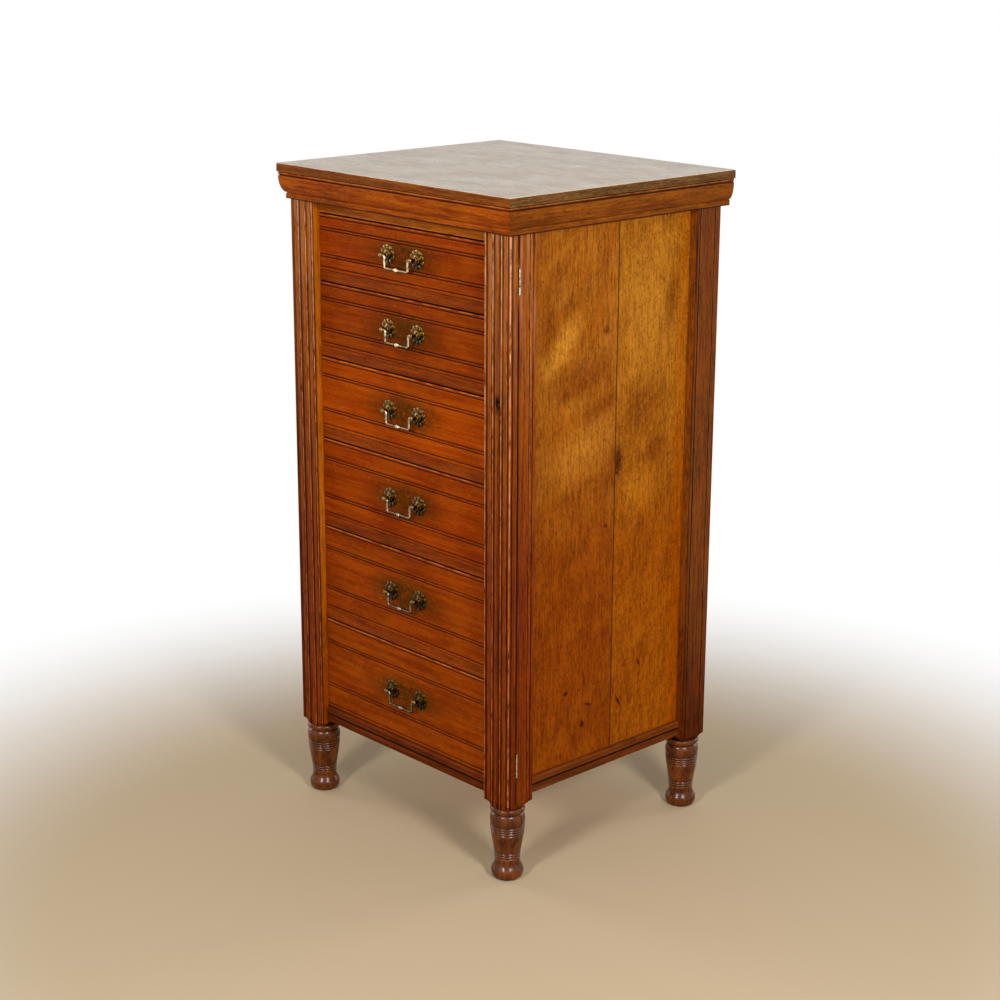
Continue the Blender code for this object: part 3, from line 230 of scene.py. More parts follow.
# The pommel's neck, collar and shank, as (radius, outward, tone), in millimetres; the tones are a painted
# highlight on the collar, and patina and painted shade in the hollows beside it
POMMEL_NECK = [(3.1, 9.6, -0.6), (3, 8, 0), (3.2, 7, 0), (4.4, 6.4, 0.5), (4.6, 5.8, 0.3), (4, 5.2, -1)]
POMMEL_NECK += [(5, 4.4, -0.5), (5, 2, 0), (2.5, 0, 0)]
SHANK_RADIUS = 2.5 * MM
NUT_RADIUS = 5.5 * MM
NUT_THICK = 3.5 * MM
BAIL_DROP = 20.5 * MM
BAIL_RADIUS = 2.4 * MM
BAIL_ARM = 28.9 * MM
BAIL_CORNER = 3.5 * MM
BAIL_PIN_END = 36.2 * MM
BAIL_PLAY = 0.4 * MM
BORE_HALF = 8 * MM
BORE_STEPS = 24
BAIL_STEPS = 20
BAR_RADIUS = 0.85 * BAIL_RADIUS
KNOP_RADIUS = 4.4 * MM
KNOP_HALF = 4.6 * MM
# The rings beside the knop, as millimetres from the middle and shares of the bar's radius
KNOP_RINGS = [(7.5, 1), (6.6, 1.35), (5.8, 1.35), (5, 0.9)]
# The side of a bail that hands rub bright, and that carries a painted highlight; the side away from it
# carries painted shade
BAIL_RUBBED_AND_LIT = Vector((0.45, -0.75, 0.48))

DRAWERS = range(1, 7)
DUST_BOARDS = range(1, 6)

# How faces meet: smooth below an angle, eased above one, and one flat face below the least
SMOOTH_ANGLE = math.radians(38)
FOOT_SMOOTH_ANGLE = math.radians(60)
EASED_ANGLE = math.radians(50)
FLAT_ANGLE = math.radians(1)
# How wide an eased arris is, and how near two points are taken as one
EASED = 0.5 * MM
MERGED = 0.001 * MM
SOLID_MERGED = 0.01 * MM

# Room: the share of its white that lights the chest, and a floor that is plain near its middle and fades away
AMBIENT = 0.32
FLOOR_HALF = 30
FLOOR_MIDDLE = (0.26, -0.24, 0)
FLOOR_PLAIN = 0.7
FLOOR_FADED = 1.6
LAMP_AIM = Vector((0, 0, 0.6))
# Lamps as a name, a place, a size in metres and a power in watts
LAMPS = [
    ("key lamp", (2.6, -0.9, 1.6), 0.45, 46),
    ("fill lamp", (1.0, -3.0, 1.7), 0.45, 48),
    ("back lamp", (0.9, 3.2, 1.25), 1.2, 24),
    ("left lamp", (-3.2, -0.9, 1.25), 1.2, 24),
]
# Camera: its place, its turn in degrees, and its lens and sensor in millimetres
CAMERA_PLACE = (2.51232, -2.35666, 1.57139)
CAMERA_TURN = (73.6185, -0.2196, 46.9648)
CAMERA_LENS = 73.92
CAMERA_SENSOR = 36

# Which world place each outline direction takes, for a run along X, Y or Z
PLACES = {
    "X": lambda across, up, along: (along, across, up),
    "Y": lambda across, up, along: (across, along, up),
    "Z": lambda across, up, along: (across, up, along),
}


def linear(code):
    """An sRGB hex colour as linear red, green, blue and alpha."""
    made = []
    for start in (1, 3, 5):
        share = int(code[start : start + 2], 16) / 255
        made.append(share / 12.92 if share <= 0.04045 else ((share + 0.055) / 1.055) ** 2.4)
    return (*made, 1)


def add(tree, kind, inputs=None, **settings):
    """Adds a node. An input is a value, or the socket that feeds it."""
    node = tree.nodes.new("ShaderNode" + kind)
    for name, value in settings.items():
        setattr(node, name, value)
    for name, value in (inputs or {}).items():
        if isinstance(value, bpy.types.NodeSocket):
            tree.links.new(value, node.inputs[name])
        else:
            node.inputs[name].default_value = value
    return node


def blank_material(name):
    """A new material, its node tree and its shader."""
    material = bpy.data.materials.new(name)
    material.use_nodes = True
    tree = material.node_tree
    return material, tree, tree.nodes["Principled BSDF"]


# Dirt and old wax in the grooves, with painted shade in grooves, creases and undersides, and the brown of old
# stains over the wood
GRIME_AND_SHADE = "#1e0901"
STAIN = "#ccb49c"
# How deep the pores of the oak and the pits of the metal are drawn
RELIEF = 0.2 * MM
# Heights between which the bloom on the posts gathers, and between which the brass is painted darker
# downwards, as lower handles reflect less of the bright room
BLOOM_HEIGHTS = (0.78, 1.05)
DIM_REFLECTION_HEIGHTS = (1.0, 0.4)


def grain_size(axis, wide, long):
    """The size of a pattern in metres: wide across the grain and long along it, given in millimetres."""
    return [MM * (long if letter == axis else wide) for letter in "XYZ"]


def pattern(tree, place, size, edges, most=1.0, detail=5, slant=0.0):
    """The share of a colour laid on in patches. The edges are where a patch starts and where it is full."""
    turned = {"Vector": place, "Scale": size, "Rotation": (-slant, 0, slant)}
    mapped = add(tree, "Mapping", turned, vector_type="TEXTURE").outputs[0]
    noise = {"Vector": mapped, "Scale": 1, "Detail": detail, "Roughness": 0.66, "Distortion": 0.2}
    cloud = add(tree, "TexNoise", noise).outputs["Fac"]
    limits = {"Value": cloud, "From Min": edges[0], "From Max": edges[1], "To Max": most}
    return add(tree, "MapRange", limits).outputs[0]


def laid_on(tree, body, layers):
    """A plain colour under layers, each a share and a colour. A third word gives another way to mix."""
    colour = linear(body)
    for share, code, *way in layers:
        mixed = {0: share, 6: colour, 7: linear(code)}
        colour = add(tree, "Mix", mixed, data_type="RGBA", blend_type=way[0] if way else "MIX").outputs[2]
    return colour


def graded(tree, place, axis, start, end, most=1.0):
    """A share that grows from nothing at one place on an axis to its most at another."""
    distance = add(tree, "SeparateXYZ", {0: place}).outputs[axis]
    limits = {"Value": distance, "From Min": start, "From Max": end, "To Max": most}
    return add(tree, "MapRange", limits).outputs[0]


def tone_shares(tree, rubbed):
    """A piece's own tone, and its shares on the crests, rubbed pale and carrying a painted highlight, and in
    the grooves, dark with grime and painted shade.
    """
    tone = add(tree, "Attribute", attribute_name="tone").outputs["Fac"]
    crests = add(tree, "Math", {0: tone, 1: rubbed}, operation="MULTIPLY", use_clamp=True).outputs[0]
    grooves = add(tree, "Math", {0: tone, 1: -1}, operation="MULTIPLY", use_clamp=True).outputs[0]
    return tone, crests, grooves


def surface(tree, shader, colour, worn, rough, height, strength, sunk=False):
    """Gives a shader its colour, its roughness with uneven wear over it, and a fine relief."""
    roughness = add(tree, "Math", {0: worn, 1: rough}, operation="ADD").outputs[0]
    relief = {"Height": height, "Strength": strength, "Distance": RELIEF}
    normal = add(tree, "Bump", relief, invert=sunk).outputs[0]
    for name, socket in (("Base Color", colour), ("Roughness", roughness), ("Normal", normal)):
        tree.links.new(socket, shader.inputs[name])


def oak(
    name, colours, axis, figure=(8, 170), pores=0.6, patina=0.5, polish=0.42, gloss=0.03,
    marks=None, darker_below=None, streaks=0.6,
):
    """Sawn oak: streaks along the grain, dark growth lines and open pores, and uneven patina.

    The colours are its pale and its plain wood, its dark lines, and its crests where they are rubbed bright
    and carry a painted highlight.
    Grooves are dark with grime and painted shade, and crests pale with wear and painted highlight, from the
    piece's own tone attribute.
    A piece may be made darker from one height down to another, by the colour given with them.
    Pores are drawn about three times their true width, so that they show at the photograph's distance.
    """
    pale, body, dark, crest = colours
    material, tree, shader = blank_material(name)
    place = add(tree, "TexCoord").outputs["Object"]
    wide, long = figure
    open_pores = pattern(tree, place, grain_size(axis, 1.1, 9), (0.52, 0.62), pores, 3)
    layers = [
        (pattern(tree, place, grain_size(axis, wide, long), (0.4, 0.6), 1, 8), pale),
        (pattern(tree, place, grain_size(axis, wide * 0.35, long * 0.5), (0.5, 0.64), streaks, 6), dark),
        (open_pores, dark),
        (pattern(tree, place, grain_size(axis, 60, 120), (0.46, 0.66), patina, 5), dark),
    ]
    if marks:
        layers += marks(tree, place)
    # Patches where the crests show pale: the wear, and the painted highlight broken up with it
    rubbed = pattern(tree, place, grain_size(axis, 4, 22), (0.41, 0.58), 1, 6)
    tone, crests, grooves = tone_shares(tree, rubbed)
    # The highest tones take the crest colour: rubbed bare wood and a painted highlight
    bright = add(tree, "MapRange", {"Value": tone, "From Min": 0.9, "From Max": 1.7}).outputs[0]
    bare = add(tree, "Math", {0: bright, 1: rubbed}, operation="MULTIPLY", use_clamp=True).outputs[0]
    layers += [(crests, pale), (bare, crest)]
    if darker_below:
        high, low, darkening = darker_below
        layers.append((graded(tree, place, "Z", high, low), darkening, "MULTIPLY"))
    # Grooves, creases and undersides: grime and painted shade
    layers.append((grooves, GRIME_AND_SHADE))
    worn = pattern(tree, place, grain_size(axis, 40, 70), (0.3, 0.7), 0.16, 4)
    surface(tree, shader, laid_on(tree, body, layers), worn, polish, open_pores, 0.3, sunk=True)
    shader.inputs["Specular IOR Level"].default_value = gloss
    return material


def spot(tree, place, centre, size, most, slant=0.0):
    """The share of a colour in one soft ragged patch. A slant turns it on the side of the chest."""
    where = {"Vector": place, "Location": centre, "Scale": size, "Rotation": (-slant, 0, 0)}
    mapped = add(tree, "Mapping", where, vector_type="TEXTURE")
    away = add(tree, "VectorMath", {0: mapped.outputs[0]}, operation="LENGTH").outputs["Value"]
    near = add(tree, "MapRange", {"Value": away, "From Min": 1, "From Max": 0.4, "To Max": most}).outputs[0]
    ragged = pattern(tree, place, [7 * MM] * 3, (0.2, 0.56))
    return add(tree, "Math", {0: near, 1: ragged}, operation="MULTIPLY").outputs[0]


def clouds(tree, place, axis, rows):
    """Layers in patches along the grain.

    A row is a width and a length in millimetres, the patches' edges, a share, a detail, a slant and a colour.
    """
    layers = []
    for wide, long, start, full, most, detail, slant, code in rows:
        size = grain_size(axis, wide, long)
        layers.append((pattern(tree, place, size, (start, full), most, detail, slant), code))
    return layers


def spots(tree, place, rows, way="MIX"):
    """Single patches on the right side panel, which show on the left one too.

    A row is a place and a half size in millimetres, each along and up, a share, a slant and a colour.
    """
    layers = []
    for along, height, half_along, half_height, most, slant, code in rows:
        centre = (0, along * MM, height * MM)
        size = (1, half_along * MM, half_height * MM)
        layers.append((spot(tree, place, centre, size, most, slant), code, way))
    return layers


def handled(middle):
    """Darker, greener polish where fingers have been, round a drawer's handle."""

    def marks(tree, place):
        touched = spot(tree, place, (HANDLE_X, 0, middle), (120 * MM, 1, 40 * MM), 1)
        golden, rubbed = clouds(tree, place, "X", FRONT_CLOUDS)
        return [golden, (touched, "#4a2803"), rubbed]

    return marks


# Golden clouds and small rubbed places on a drawer front
FRONT_CLOUDS = [(38, 95, 0.46, 0.62, 0.35, 6, 0, "#9c4804"), (5, 11, 0.6, 0.72, 0.55, 5, 0, "#a85806")]
# The front board of a side: hazy gold above with slanting stains and patches of painted sheen, deep orange
# and dented below
FRONT_BOARD = {
    "clouds": [
        (40, 130, 0.46, 0.62, 0.6, 6, 0.8, "#b27021"),
        (30, 120, 0.52, 0.66, 0.6, 6, 0.8, "#74400f"),
    ],
    "painted_sheen": [(-70, 706, 120, 60, 0.8, -0.45, "#c4842c"), (-112, 886, 32, 84, 0.9, 0.7, "#cd8d2c")],
    "fibres": ("#b46b18", "#612b03"),
    "stains": [
        (-142, 930, 26, 80, 0.8, 0, STAIN),
        (-75, 826, 100, 44, 1, -0.1, STAIN),
        (-22, 776, 60, 20, 1, -0.5, STAIN),
    ],
    "flecks": [(9, 13, 0.66, 0.72, 0.8, 3, 0, "#522506")],
    "dents": [
        (-95, 296, 9, 5, 1, -0.2, "#2c1002"),
        (-54, 232, 5, 10, 1, 0, "#2c1002"),
        (-42, 264, 12, 4, 1, 0.4, "#3c1803"),
        (-6, 572, 5, 6, 1, 0, "#2c1002"),
        (-12, 902, 9, 12, 1, 0, "#4a2006"),
    ],
}
# The rear board: smoother and more golden, with slanting scratches, patches of painted sheen and a knot at
# the joint
REAR_BOARD = {
    "clouds": [
        (50, 140, 0.46, 0.64, 0.7, 6, 0.75, "#b9761f"),
        (36, 110, 0.54, 0.68, 0.6, 6, 0.75, "#78430b"),
    ],
    "painted_sheen": [(82, 930, 75, 140, 0.7, 0, "#c58529"), (66, 622, 60, 46, 0.8, -0.3, "#c68526")],
    "edge": (152 * MM, 166 * MM, 0.8, "#ab5a05"),
    "fibres": ("#be7a1e", "#683304"),
    "stains": [
        (142, 945, 22, 60, 0.9, 0, STAIN),
        (85, 765, 80, 60, 0.9, 0, STAIN),
        (108, 684, 42, 24, 1, -0.4, STAIN),
    ],
    "flecks": [(3.5, 60, 0.56, 0.64, 0.6, 3, 0.85, "#683505"), (8, 12, 0.68, 0.74, 0.85, 3, 0, "#4a2205")],
    "dents": [
        (22, 680, 14, 34, 1, 0, "#4a2206"),
        (18, 664, 6, 14, 1, 0, "#1e0b02"),
        (80, 310, 4, 13, 1, -0.5, "#2c1002"),
        (32, 250, 4, 16, 1, -0.5, "#2c1002"),
    ],
}


def aged(board):
    """The marks of age on one board of a side, and its patches of painted sheen.

    Its fibres run up the board and, where they are torn, across it. They are drawn about four times
    their true width, to show from the side.
    """

    def marks(tree, place):
        light, dark = board["fibres"]
        layers = clouds(tree, place, "Z", board["clouds"]) + spots(tree, place, board["painted_sheen"])
        if "edge" in board:
            start, end, most, code = board["edge"]
            layers.append((graded(tree, place, "Y", start, end, most), code))
        fibres = [(3.6, 44, 0.48, 0.6, 0.5, 6, 0, light), (3, 30, 0.51, 0.58, 0.5, 6, 0, dark)]
        torn = [(3.2, 13, 0.52, 0.58, 0.38, 5, 0.6, light), (3, 12, 0.54, 0.6, 0.45, 5, -0.35, dark)]
        layers += clouds(tree, place, "Z", fibres + torn)
        layers += spots(tree, place, board["stains"], "MULTIPLY")
        return layers + clouds(tree, place, "Z", board["flecks"]) + spots(tree, place, board["dents"])

    return marks


def faded_top(tree, place):
    """The top's age: brown clouds and small dark flecks under the haze."""
    brown = (55, 80, 0.45, 0.65, 0.5, 7, 0.6, "#a78866")
    flecks = (3, 45, 0.53, 0.64, 0.75, 5, 0, "#7e6143")
    return clouds(tree, place, "X", [brown, flecks])


def bloomed(tree, place):
    """A pinkish grey bloom in the polish of the posts, towards their tops."""
    streaks = pattern(tree, place, grain_size("Z", 5, 130), (0.46, 0.62))
    above = graded(tree, place, "Z", *BLOOM_HEIGHTS, 0.5)
    return [(add(tree, "Math", {0: streaks, 1: above}, operation="MULTIPLY").outputs[0], "#b98462")]


def mottled(tree, place):
    """Dark figure in the feet, cut across by the turning."""
    return clouds(tree, place, "Z", [(9, 16, 0.5, 0.66, 0.6, 4, 0, "#1e0b02")])


def keyed(tree, place):
    """The same bloom on the stile, and a dark patch round its keyhole: painted shade that makes the hole read
    larger and darker.
    """
    centre = (LOCK_X, -HALF_DEPTH, KEYHOLE_Z - 3 * MM)
    return bloomed(tree, place) + [(spot(tree, place, centre, (11 * MM, 1, 20 * MM), 1), "#1c0b03")]


# Drawer fronts: warm orange brown oak under a dull wax, each a little different
FRONT_COLOURS = [
    ("#a54505", "#8a2f02", "#5f1d02", "#c08040"),
    ("#973e05", "#7e2c02", "#591d02", "#c08040"),
    ("#af4b03", "#983801", "#6b2602", "#c98c3c"),
    ("#9c3f03", "#842b01", "#601d01", "#c08040"),
    ("#9a4004", "#802c02", "#5c2002", "#c08040"),
    ("#9c4303", "#823001", "#5b2002", "#c08040"),
]
FRONT_OAKS = []
for number, colours in enumerate(FRONT_COLOURS, 1):
    low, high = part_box(f"drawer_{number}_front")
    marks = handled((low.z + high.z) / 2)
    FRONT_OAKS.append(oak(f"waxed front oak {number}", colours, "X", gloss=0.02, marks=marks, streaks=0.4))
# Dividers and rails of the front: redder and darker, the dividers partly as painted shade, and rubbed pale
# along their arrises, which carry a painted highlight too
DIVIDER_OAK = oak("waxed divider oak", ("#95430a", "#752b03", "#461502", "#c07a35"), "X")
FRIEZE_OAK = oak("waxed frieze oak", ("#a8590f", "#834009", "#562205", "#d09450"), "X")
FRONT_RAIL_OAK = oak("waxed rail oak", ("#733008", "#4b1d04", "#2f0f02", "#b0702f"), "X")
SIDE_RAIL_OAK = oak("waxed side rail oak", ("#7e3d10", "#582809", "#381504", "#b0702f"), "Y")
# Cornice: brown, rubbed bright along its bead and its lower arris, with a painted highlight there too
CORNICE_OAK = oak("waxed cornice oak", ("#b0560a", "#8a3904", "#521c03", "#e2bc92"), "X", (8, 120))
SIDE_CORNICE_OAK = oak("waxed side cornice oak", ("#935010", "#6e3509", "#441d04", "#d0a272"), "Y", (8, 120))
# Posts and stile: grain upright, golden flats and reddish reeds with polish rubbed off the crests, where the
# crest colour is a painted highlight as well
POST_COLOURS = ("#b15f12", "#703006", "#3e1703", "#f1c096")
# Posts and returns grow darker towards the bottom, from the first height down to the second, by the colour
POST_DARKENING = (1.04, 0.5, "#c69c66")
LOW_DARKENING = (0.5, 0.13, "#c09c74")
POST_FINISH = {"axis": "Z", "figure": (4, 120), "patina": 0.4, "polish": 0.3}
POST_OAK = oak("polished post oak", POST_COLOURS, gloss=0.05, marks=bloomed, darker_below=POST_DARKENING, **POST_FINISH)
STILE_OAK = oak("polished stile oak", POST_COLOURS, gloss=0.05, marks=keyed, darker_below=POST_DARKENING, **POST_FINISH)
BACK_POST_COLOURS = ("#864510", "#52260a", "#321505", "#b98a5c")
BACK_POST_OAK = oak("polished back post oak", BACK_POST_COLOURS, gloss=0.04, darker_below=LOW_DARKENING, **POST_FINISH)
# The posts' returns beside the drawers: paler and golden
RETURN_COLOURS = ("#b8640f", "#954809", "#5c2703", "#d4a07c")
RETURN_FINISH = {"axis": "Z", "figure": (4, 90), "pores": 0.5, "patina": 0.6, "polish": 0.3}
RETURN_OAK = oak("polished return oak", RETURN_COLOURS, gloss=0.04, darker_below=LOW_DARKENING, **RETURN_FINISH)
# Feet: the darkest polish, turned so that the grain runs up the foot
FOOT_COLOURS = ("#76390a", "#502405", "#2c1002", "#c09468")
FOOT_FINISH = {"axis": "Z", "figure": (14, 60), "pores": 0.4, "polish": 0.12, "gloss": 0.24}
FOOT_OAK = oak("polished turned oak", FOOT_COLOURS, marks=mottled, **FOOT_FINISH)
# Side panels: two wide boards under cloudy old polish
PANEL_COLOURS = ("#a85f10", "#924e0a", "#683003", "#c58a3c")
PANEL_FINISH = {"axis": "Z", "figure": (7, 160), "pores": 0.35, "darker_below": (0.78, 0.5, "#dab452")}
PANEL_OAK = oak("waxed panel oak", PANEL_COLOURS, marks=aged(FRONT_BOARD), **PANEL_FINISH)
REAR_COLOURS = ("#ab6613", "#96530b", "#6c3504", "#c58a3c")
REAR_FINISH = {"axis": "Z", "figure": (12, 150), "pores": 0.2, "darker_below": (0.8, 0.52, "#eccc5a")}
REAR_BOARD_OAK = oak("waxed rear board oak", REAR_COLOURS, marks=aged(REAR_BOARD), **REAR_FINISH)
# Top: pale from faded polish, with the bright room's reflection painted into its colour as well; its gloss
# mirrors the room too
TOP_COLOURS = ("#e4cfb2", "#d2b796", "#a5825c", "#e4d0b6")
TOP_FINISH = {"axis": "X", "figure": (7, 190), "pores": 0.5, "patina": 0.3, "polish": 0.24, "gloss": 1}
TOP_OAK = oak("faded top oak", TOP_COLOURS, marks=faded_top, **TOP_FINISH)
EDGE_OAK = oak("waxed edge oak", ("#925016", "#70380c", "#482006", "#c08a4e"), "X", (6, 120))
END_OAK = oak("worn end grain oak", ("#82592f", "#5e3b1b", "#33200d", "#b78f60"), "Y", (3, 40), 0.8)
# Inside: planed and left bare
BARE = ("#c49a66", "#a97d4a", "#7d5730", "#cba878")
BARE_OAK_X = oak("bare oak across", BARE, "X", (10, 260), pores=0.4, patina=0.2, polish=0.7)
BARE_OAK_Y = oak("bare oak front to back", BARE, "Y", (10, 260), pores=0.4, patina=0.2, polish=0.7)
BARE_OAK_Z = oak("bare oak upright", BARE, "Z", (12, 300), pores=0.4, patina=0.3, polish=0.7)
BARE_END = ("#a37c4c", "#86602f", "#5d3f1d", "#b08a5a")
BARE_END_OAK = oak("bare end grain oak", BARE_END, "Y", (3, 5), patina=0.2, polish=0.75)
# Back: rough boards, grey brown with age
BACK_COLOURS = ("#8d7050", "#715438", "#4a3422", "#9d8260")
BACK_OAK = oak("unpolished back oak", BACK_COLOURS, "Z", (14, 320), polish=0.75)


def cast_metal(name, bright, dull, dark, rough, reflection_dimming=0.0):
    """Cast metal handled for years: bright on the crests with wear and painted highlight, dull between them,
    and dark in the hollows with patina and painted shade.

    The last argument is how far it is painted darker low down, where the handles reflect less of the bright
    room.
    """
    material, tree, shader = blank_material(name)
    place = add(tree, "TexCoord").outputs["Object"]
    even = [5 * MM] * 3
    _, crests, grooves = tone_shares(tree, pattern(tree, place, even, (0.36, 0.6)))
    layers = [
        (crests, bright),
        (grooves, dark),
        (pattern(tree, place, even, (0.55, 0.7), 0.6), dark),
        (graded(tree, place, "Z", *DIM_REFLECTION_HEIGHTS, reflection_dimming), dark),
    ]
    uneven = pattern(tree, place, even, (0.3, 0.7), 0.2)
    pits = pattern(tree, place, [1.2 * MM] * 3, (0.3, 0.7))
    surface(tree, shader, laid_on(tree, dull, layers), uneven, rough, pits, 0.12)
    shader.inputs["Metallic"].default_value = 1
    return material


# Handles: brass that hands keep bright on its crests, where highlights are painted too. Hinges: paler brass,
# their knuckles painted bright as a highlight. Lock: iron gone dark
BRASS = cast_metal("aged brass", "#ecd6ac", "#6e4c18", "#1c0f03", 0.2, 0.72)
ROSE_BRASS = cast_metal("dull rose brass", "#d2b070", "#6e4c15", "#170c02", 0.2, 0.6)
HINGE_BRASS = cast_metal("pale hinge brass", "#ded2b8", "#8d7850", "#2c2010", 0.2)
IRON = cast_metal("dark iron", "#6d6660", "#4a4440", "#231f1c", 0.45)


def mesh_of(name, work, materials, angle=SMOOTH_ANGLE):
    """A finished bmesh as a mesh: merged, facing outwards, and sharp where it turns by more than an angle."""
    bmesh.ops.remove_doubles(work, verts=work.verts, dist=MERGED)
    bmesh.ops.recalc_face_normals(work, faces=work.faces)
    mesh = bpy.data.meshes.new(name)
    work.to_mesh(mesh)
    work.free()
    for material in materials:
        mesh.materials.append(material)
    mesh.shade_smooth()
    mesh.set_sharp_from_angle(angle=angle)
    return mesh


def in_scene(name, data):
    """A new object in the scene."""
    made = bpy.data.objects.new(name, data)
    bpy.context.scene.collection.objects.link(made)
    return made


def mounted(name, mesh, body, replaced=()):
    """Makes a mesh one piece of the chest, riding on its body."""
    piece = in_scene(name, mesh)
    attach(piece, body)
    if replaced:
        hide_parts(*replaced)
    return piece


def finish_piece(name, work, materials, body, replaced=(), angle=SMOOTH_ANGLE):
    """Makes a finished bmesh one piece of the chest, riding on its body."""
    return mounted(name, mesh_of(name, work, materials, angle), body, replaced)


def ease(piece, width):
    """Takes the sharpness off a piece's arrises."""
    softened = piece.modifiers.new("eased arrises", "BEVEL")
    softened.limit_method = "ANGLE"
    softened.angle_limit = EASED_ANGLE
    softened.width = width
    softened.segments = 2
    softened.use_clamp_overlap = True
    softened.harden_normals = True


def loft(work, rings, slot=0):
    """Adds a closed body: a face on its first ring, extruded on through the others.

    A ring is a list of places, each with its tone. All rings have as many places.
    """
    tone = work.verts.layers.float.get("tone") or work.verts.layers.float.new("tone")
    before = set(work.faces)
    face = work.faces.new([work.verts.new(place) for place, _ in rings[0]])
    loops = []
    for number, ring in enumerate(rings):
        if number > 0:
            grown = bmesh.ops.extrude_face_region(work, geom=[face, *face.edges])["geom"]
            face = next(part for part in grown if isinstance(part, bmesh.types.BMFace))
        for vert, (place, shade) in zip(face.verts, ring):
            vert.co = place
            vert[tone] = shade
        loops.append(list(face.verts))
    for made in work.faces:
        if made not in before:
            made.material_index = slot
    return loops


def run_outline(work, points, levels, axis, slot=0):
    """Adds a closed outline of (across, up, tone) run along an axis through the given levels."""
    place = PLACES[axis]
    rings = [[(place(across, up, level), shade) for across, up, shade in points] for level in levels]
    return loft(work, rings, slot)


def run_piece(name, outline, levels, axis, material, node, body="carcass"):
    """Makes a single outline run along an axis one piece of the chest."""
    work = bmesh.new()
    run_outline(work, outline, levels, axis)
    return finish_piece(name, work, [material], body, (node,))


def toned(points, shade=0.0):
    """Points of an outline, all with one tone."""
    return [(across, up, shade) for across, up in points]


def arc(centre, radii, start, sweep, steps):
    """Points on an arc, with its angles in degrees."""
    points = []
    for step in range(steps + 1):
        angle = math.radians(start + sweep * step / steps)
        points.append((centre[0] + radii[0] * math.cos(angle), centre[1] + radii[1] * math.sin(angle)))
    return points


def carve(piece, *bounds):
    """Cuts boxes out of a piece for good."""
    for low, high in bounds:
        work = bmesh.new()
        bmesh.ops.create_cube(work, size=1)
        bmesh.ops.scale(work, verts=work.verts, vec=Vector(high) - Vector(low))
        bmesh.ops.translate(work, verts=work.verts, vec=(Vector(high) + Vector(low)) / 2)
        cut_with(piece, work)


def cut_with(piece, work):
    """Cuts a bmesh out of a piece for good."""
    mesh = bpy.data.meshes.new("cutter")
    work.to_mesh(mesh)
    work.free()
    cutter = in_scene("cutter", mesh)
    change = piece.modifiers.new("cut", "BOOLEAN")
    change.operation = "DIFFERENCE"
    change.solver = "EXACT"
    change.object = cutter
    bpy.context.view_layer.update()
    graph = bpy.context.evaluated_depsgraph_get()
    made = bpy.data.meshes.new_from_object(piece.evaluated_get(graph))
    piece.modifiers.clear()
    old = piece.data
    piece.data = made
    made.name = piece.name
    bpy.data.meshes.remove(old)
    bpy.data.objects.remove(cutter)
    made.shade_smooth()
    made.set_sharp_from_angle(angle=SMOOTH_ANGLE)


def half_round(middle, width, rise):
    """Points over a half round strip, from one side to the other."""
    return arc((middle, rise), (width / 2, rise), 180, 180, ROUND_STEPS)


def crested(points, kind):
    """Points round a bead, with tones that rise to a painted highlight, also rubbed pale, at its crest."""
    most, narrow, rest = BEAD_TONES[kind]
    toned_points = []
    for step, (across, depth) in enumerate(points):
        crest = math.sin(math.pi * step / (len(points) - 1))
        toned_points.append((across, depth, most * crest**narrow - rest))
    return toned_points


def mould(strips):
    """A moulded face as (along, depth, tone), from strips of a kind and a width."""
    points = []
    along = 0
    for kind, width in strips:
        middle = along + width / 2
        if kind == "quirk":
            for share, depth, shade in QUIRK_SHAPE:
                points.append((middle + share * width, depth * QUIRK_DEPTH, shade))
        elif kind == "flat":
            for inset, drop, shade in FLAT_EDGE:
                points.append((along + inset, FLAT_DEPTH + drop, shade))
            for inset, drop, shade in reversed(FLAT_EDGE):
                points.append((along + width - inset, FLAT_DEPTH + drop, shade))
        elif kind == "reed":
            for point, shade in zip(half_round(middle, width, REED_RISE), REED_TONES):
                points.append((*point, shade))
        else:
            points += crested(half_round(middle, width, BEAD_RISE), kind)
        along += width
    return points


def front_strips():
    """The strips of a post's front, from its inner edge out."""
    cluster = 2 * SMALL_BEAD + REED + 2 * FINE_QUIRK
    edges = EDGE_BEAD + 2 * QUIRK + 2 * CORNER_BEAD
    flat = ("flat", (POST_WIDTH - cluster - edges) / 2)
    bead = ("bead", SMALL_BEAD)
    quirk = ("quirk", QUIRK)
    fine = ("quirk", FINE_QUIRK)
    return [("bead", EDGE_BEAD), quirk, flat, fine, bead, ("reed", REED), bead, fine, flat, quirk]


def front_side_strips():
    """The strips of a front post's side, from the corner bead back."""
    taken = 2 * CORNER_BEAD + 2 * QUIRK + SIDE_BAND + FINE_QUIRK + SIDE_BEAD
    quirk = ("quirk", QUIRK)
    band = [("flat", SIDE_BAND), ("quirk", FINE_QUIRK), ("soft bead", SIDE_BEAD)]
    return [quirk, ("flat", POST_DEPTH - taken), quirk, *band]


def back_side_strips():
    """The strips of a back post's side, from the back forward."""
    quirk = ("quirk", QUIRK)
    middle = ("flat", POST_DEPTH - BACK_BAND - 2 * QUIRK - SIDE_BEAD)
    return [("flat", BACK_BAND), quirk, middle, quirk, ("soft bead", SIDE_BEAD)]


def moulded_front():
    """The reeded face and the bead round the corner, as distances in from the side and the front."""
    points = [(POST_WIDTH - along, depth, shade) for along, depth, shade in mould(front_strips())]
    centre = (CORNER_BEAD, CORNER_BEAD)
    return points + crested(arc(centre, centre, -20, -230, CORNER_STEPS), "corner bead")


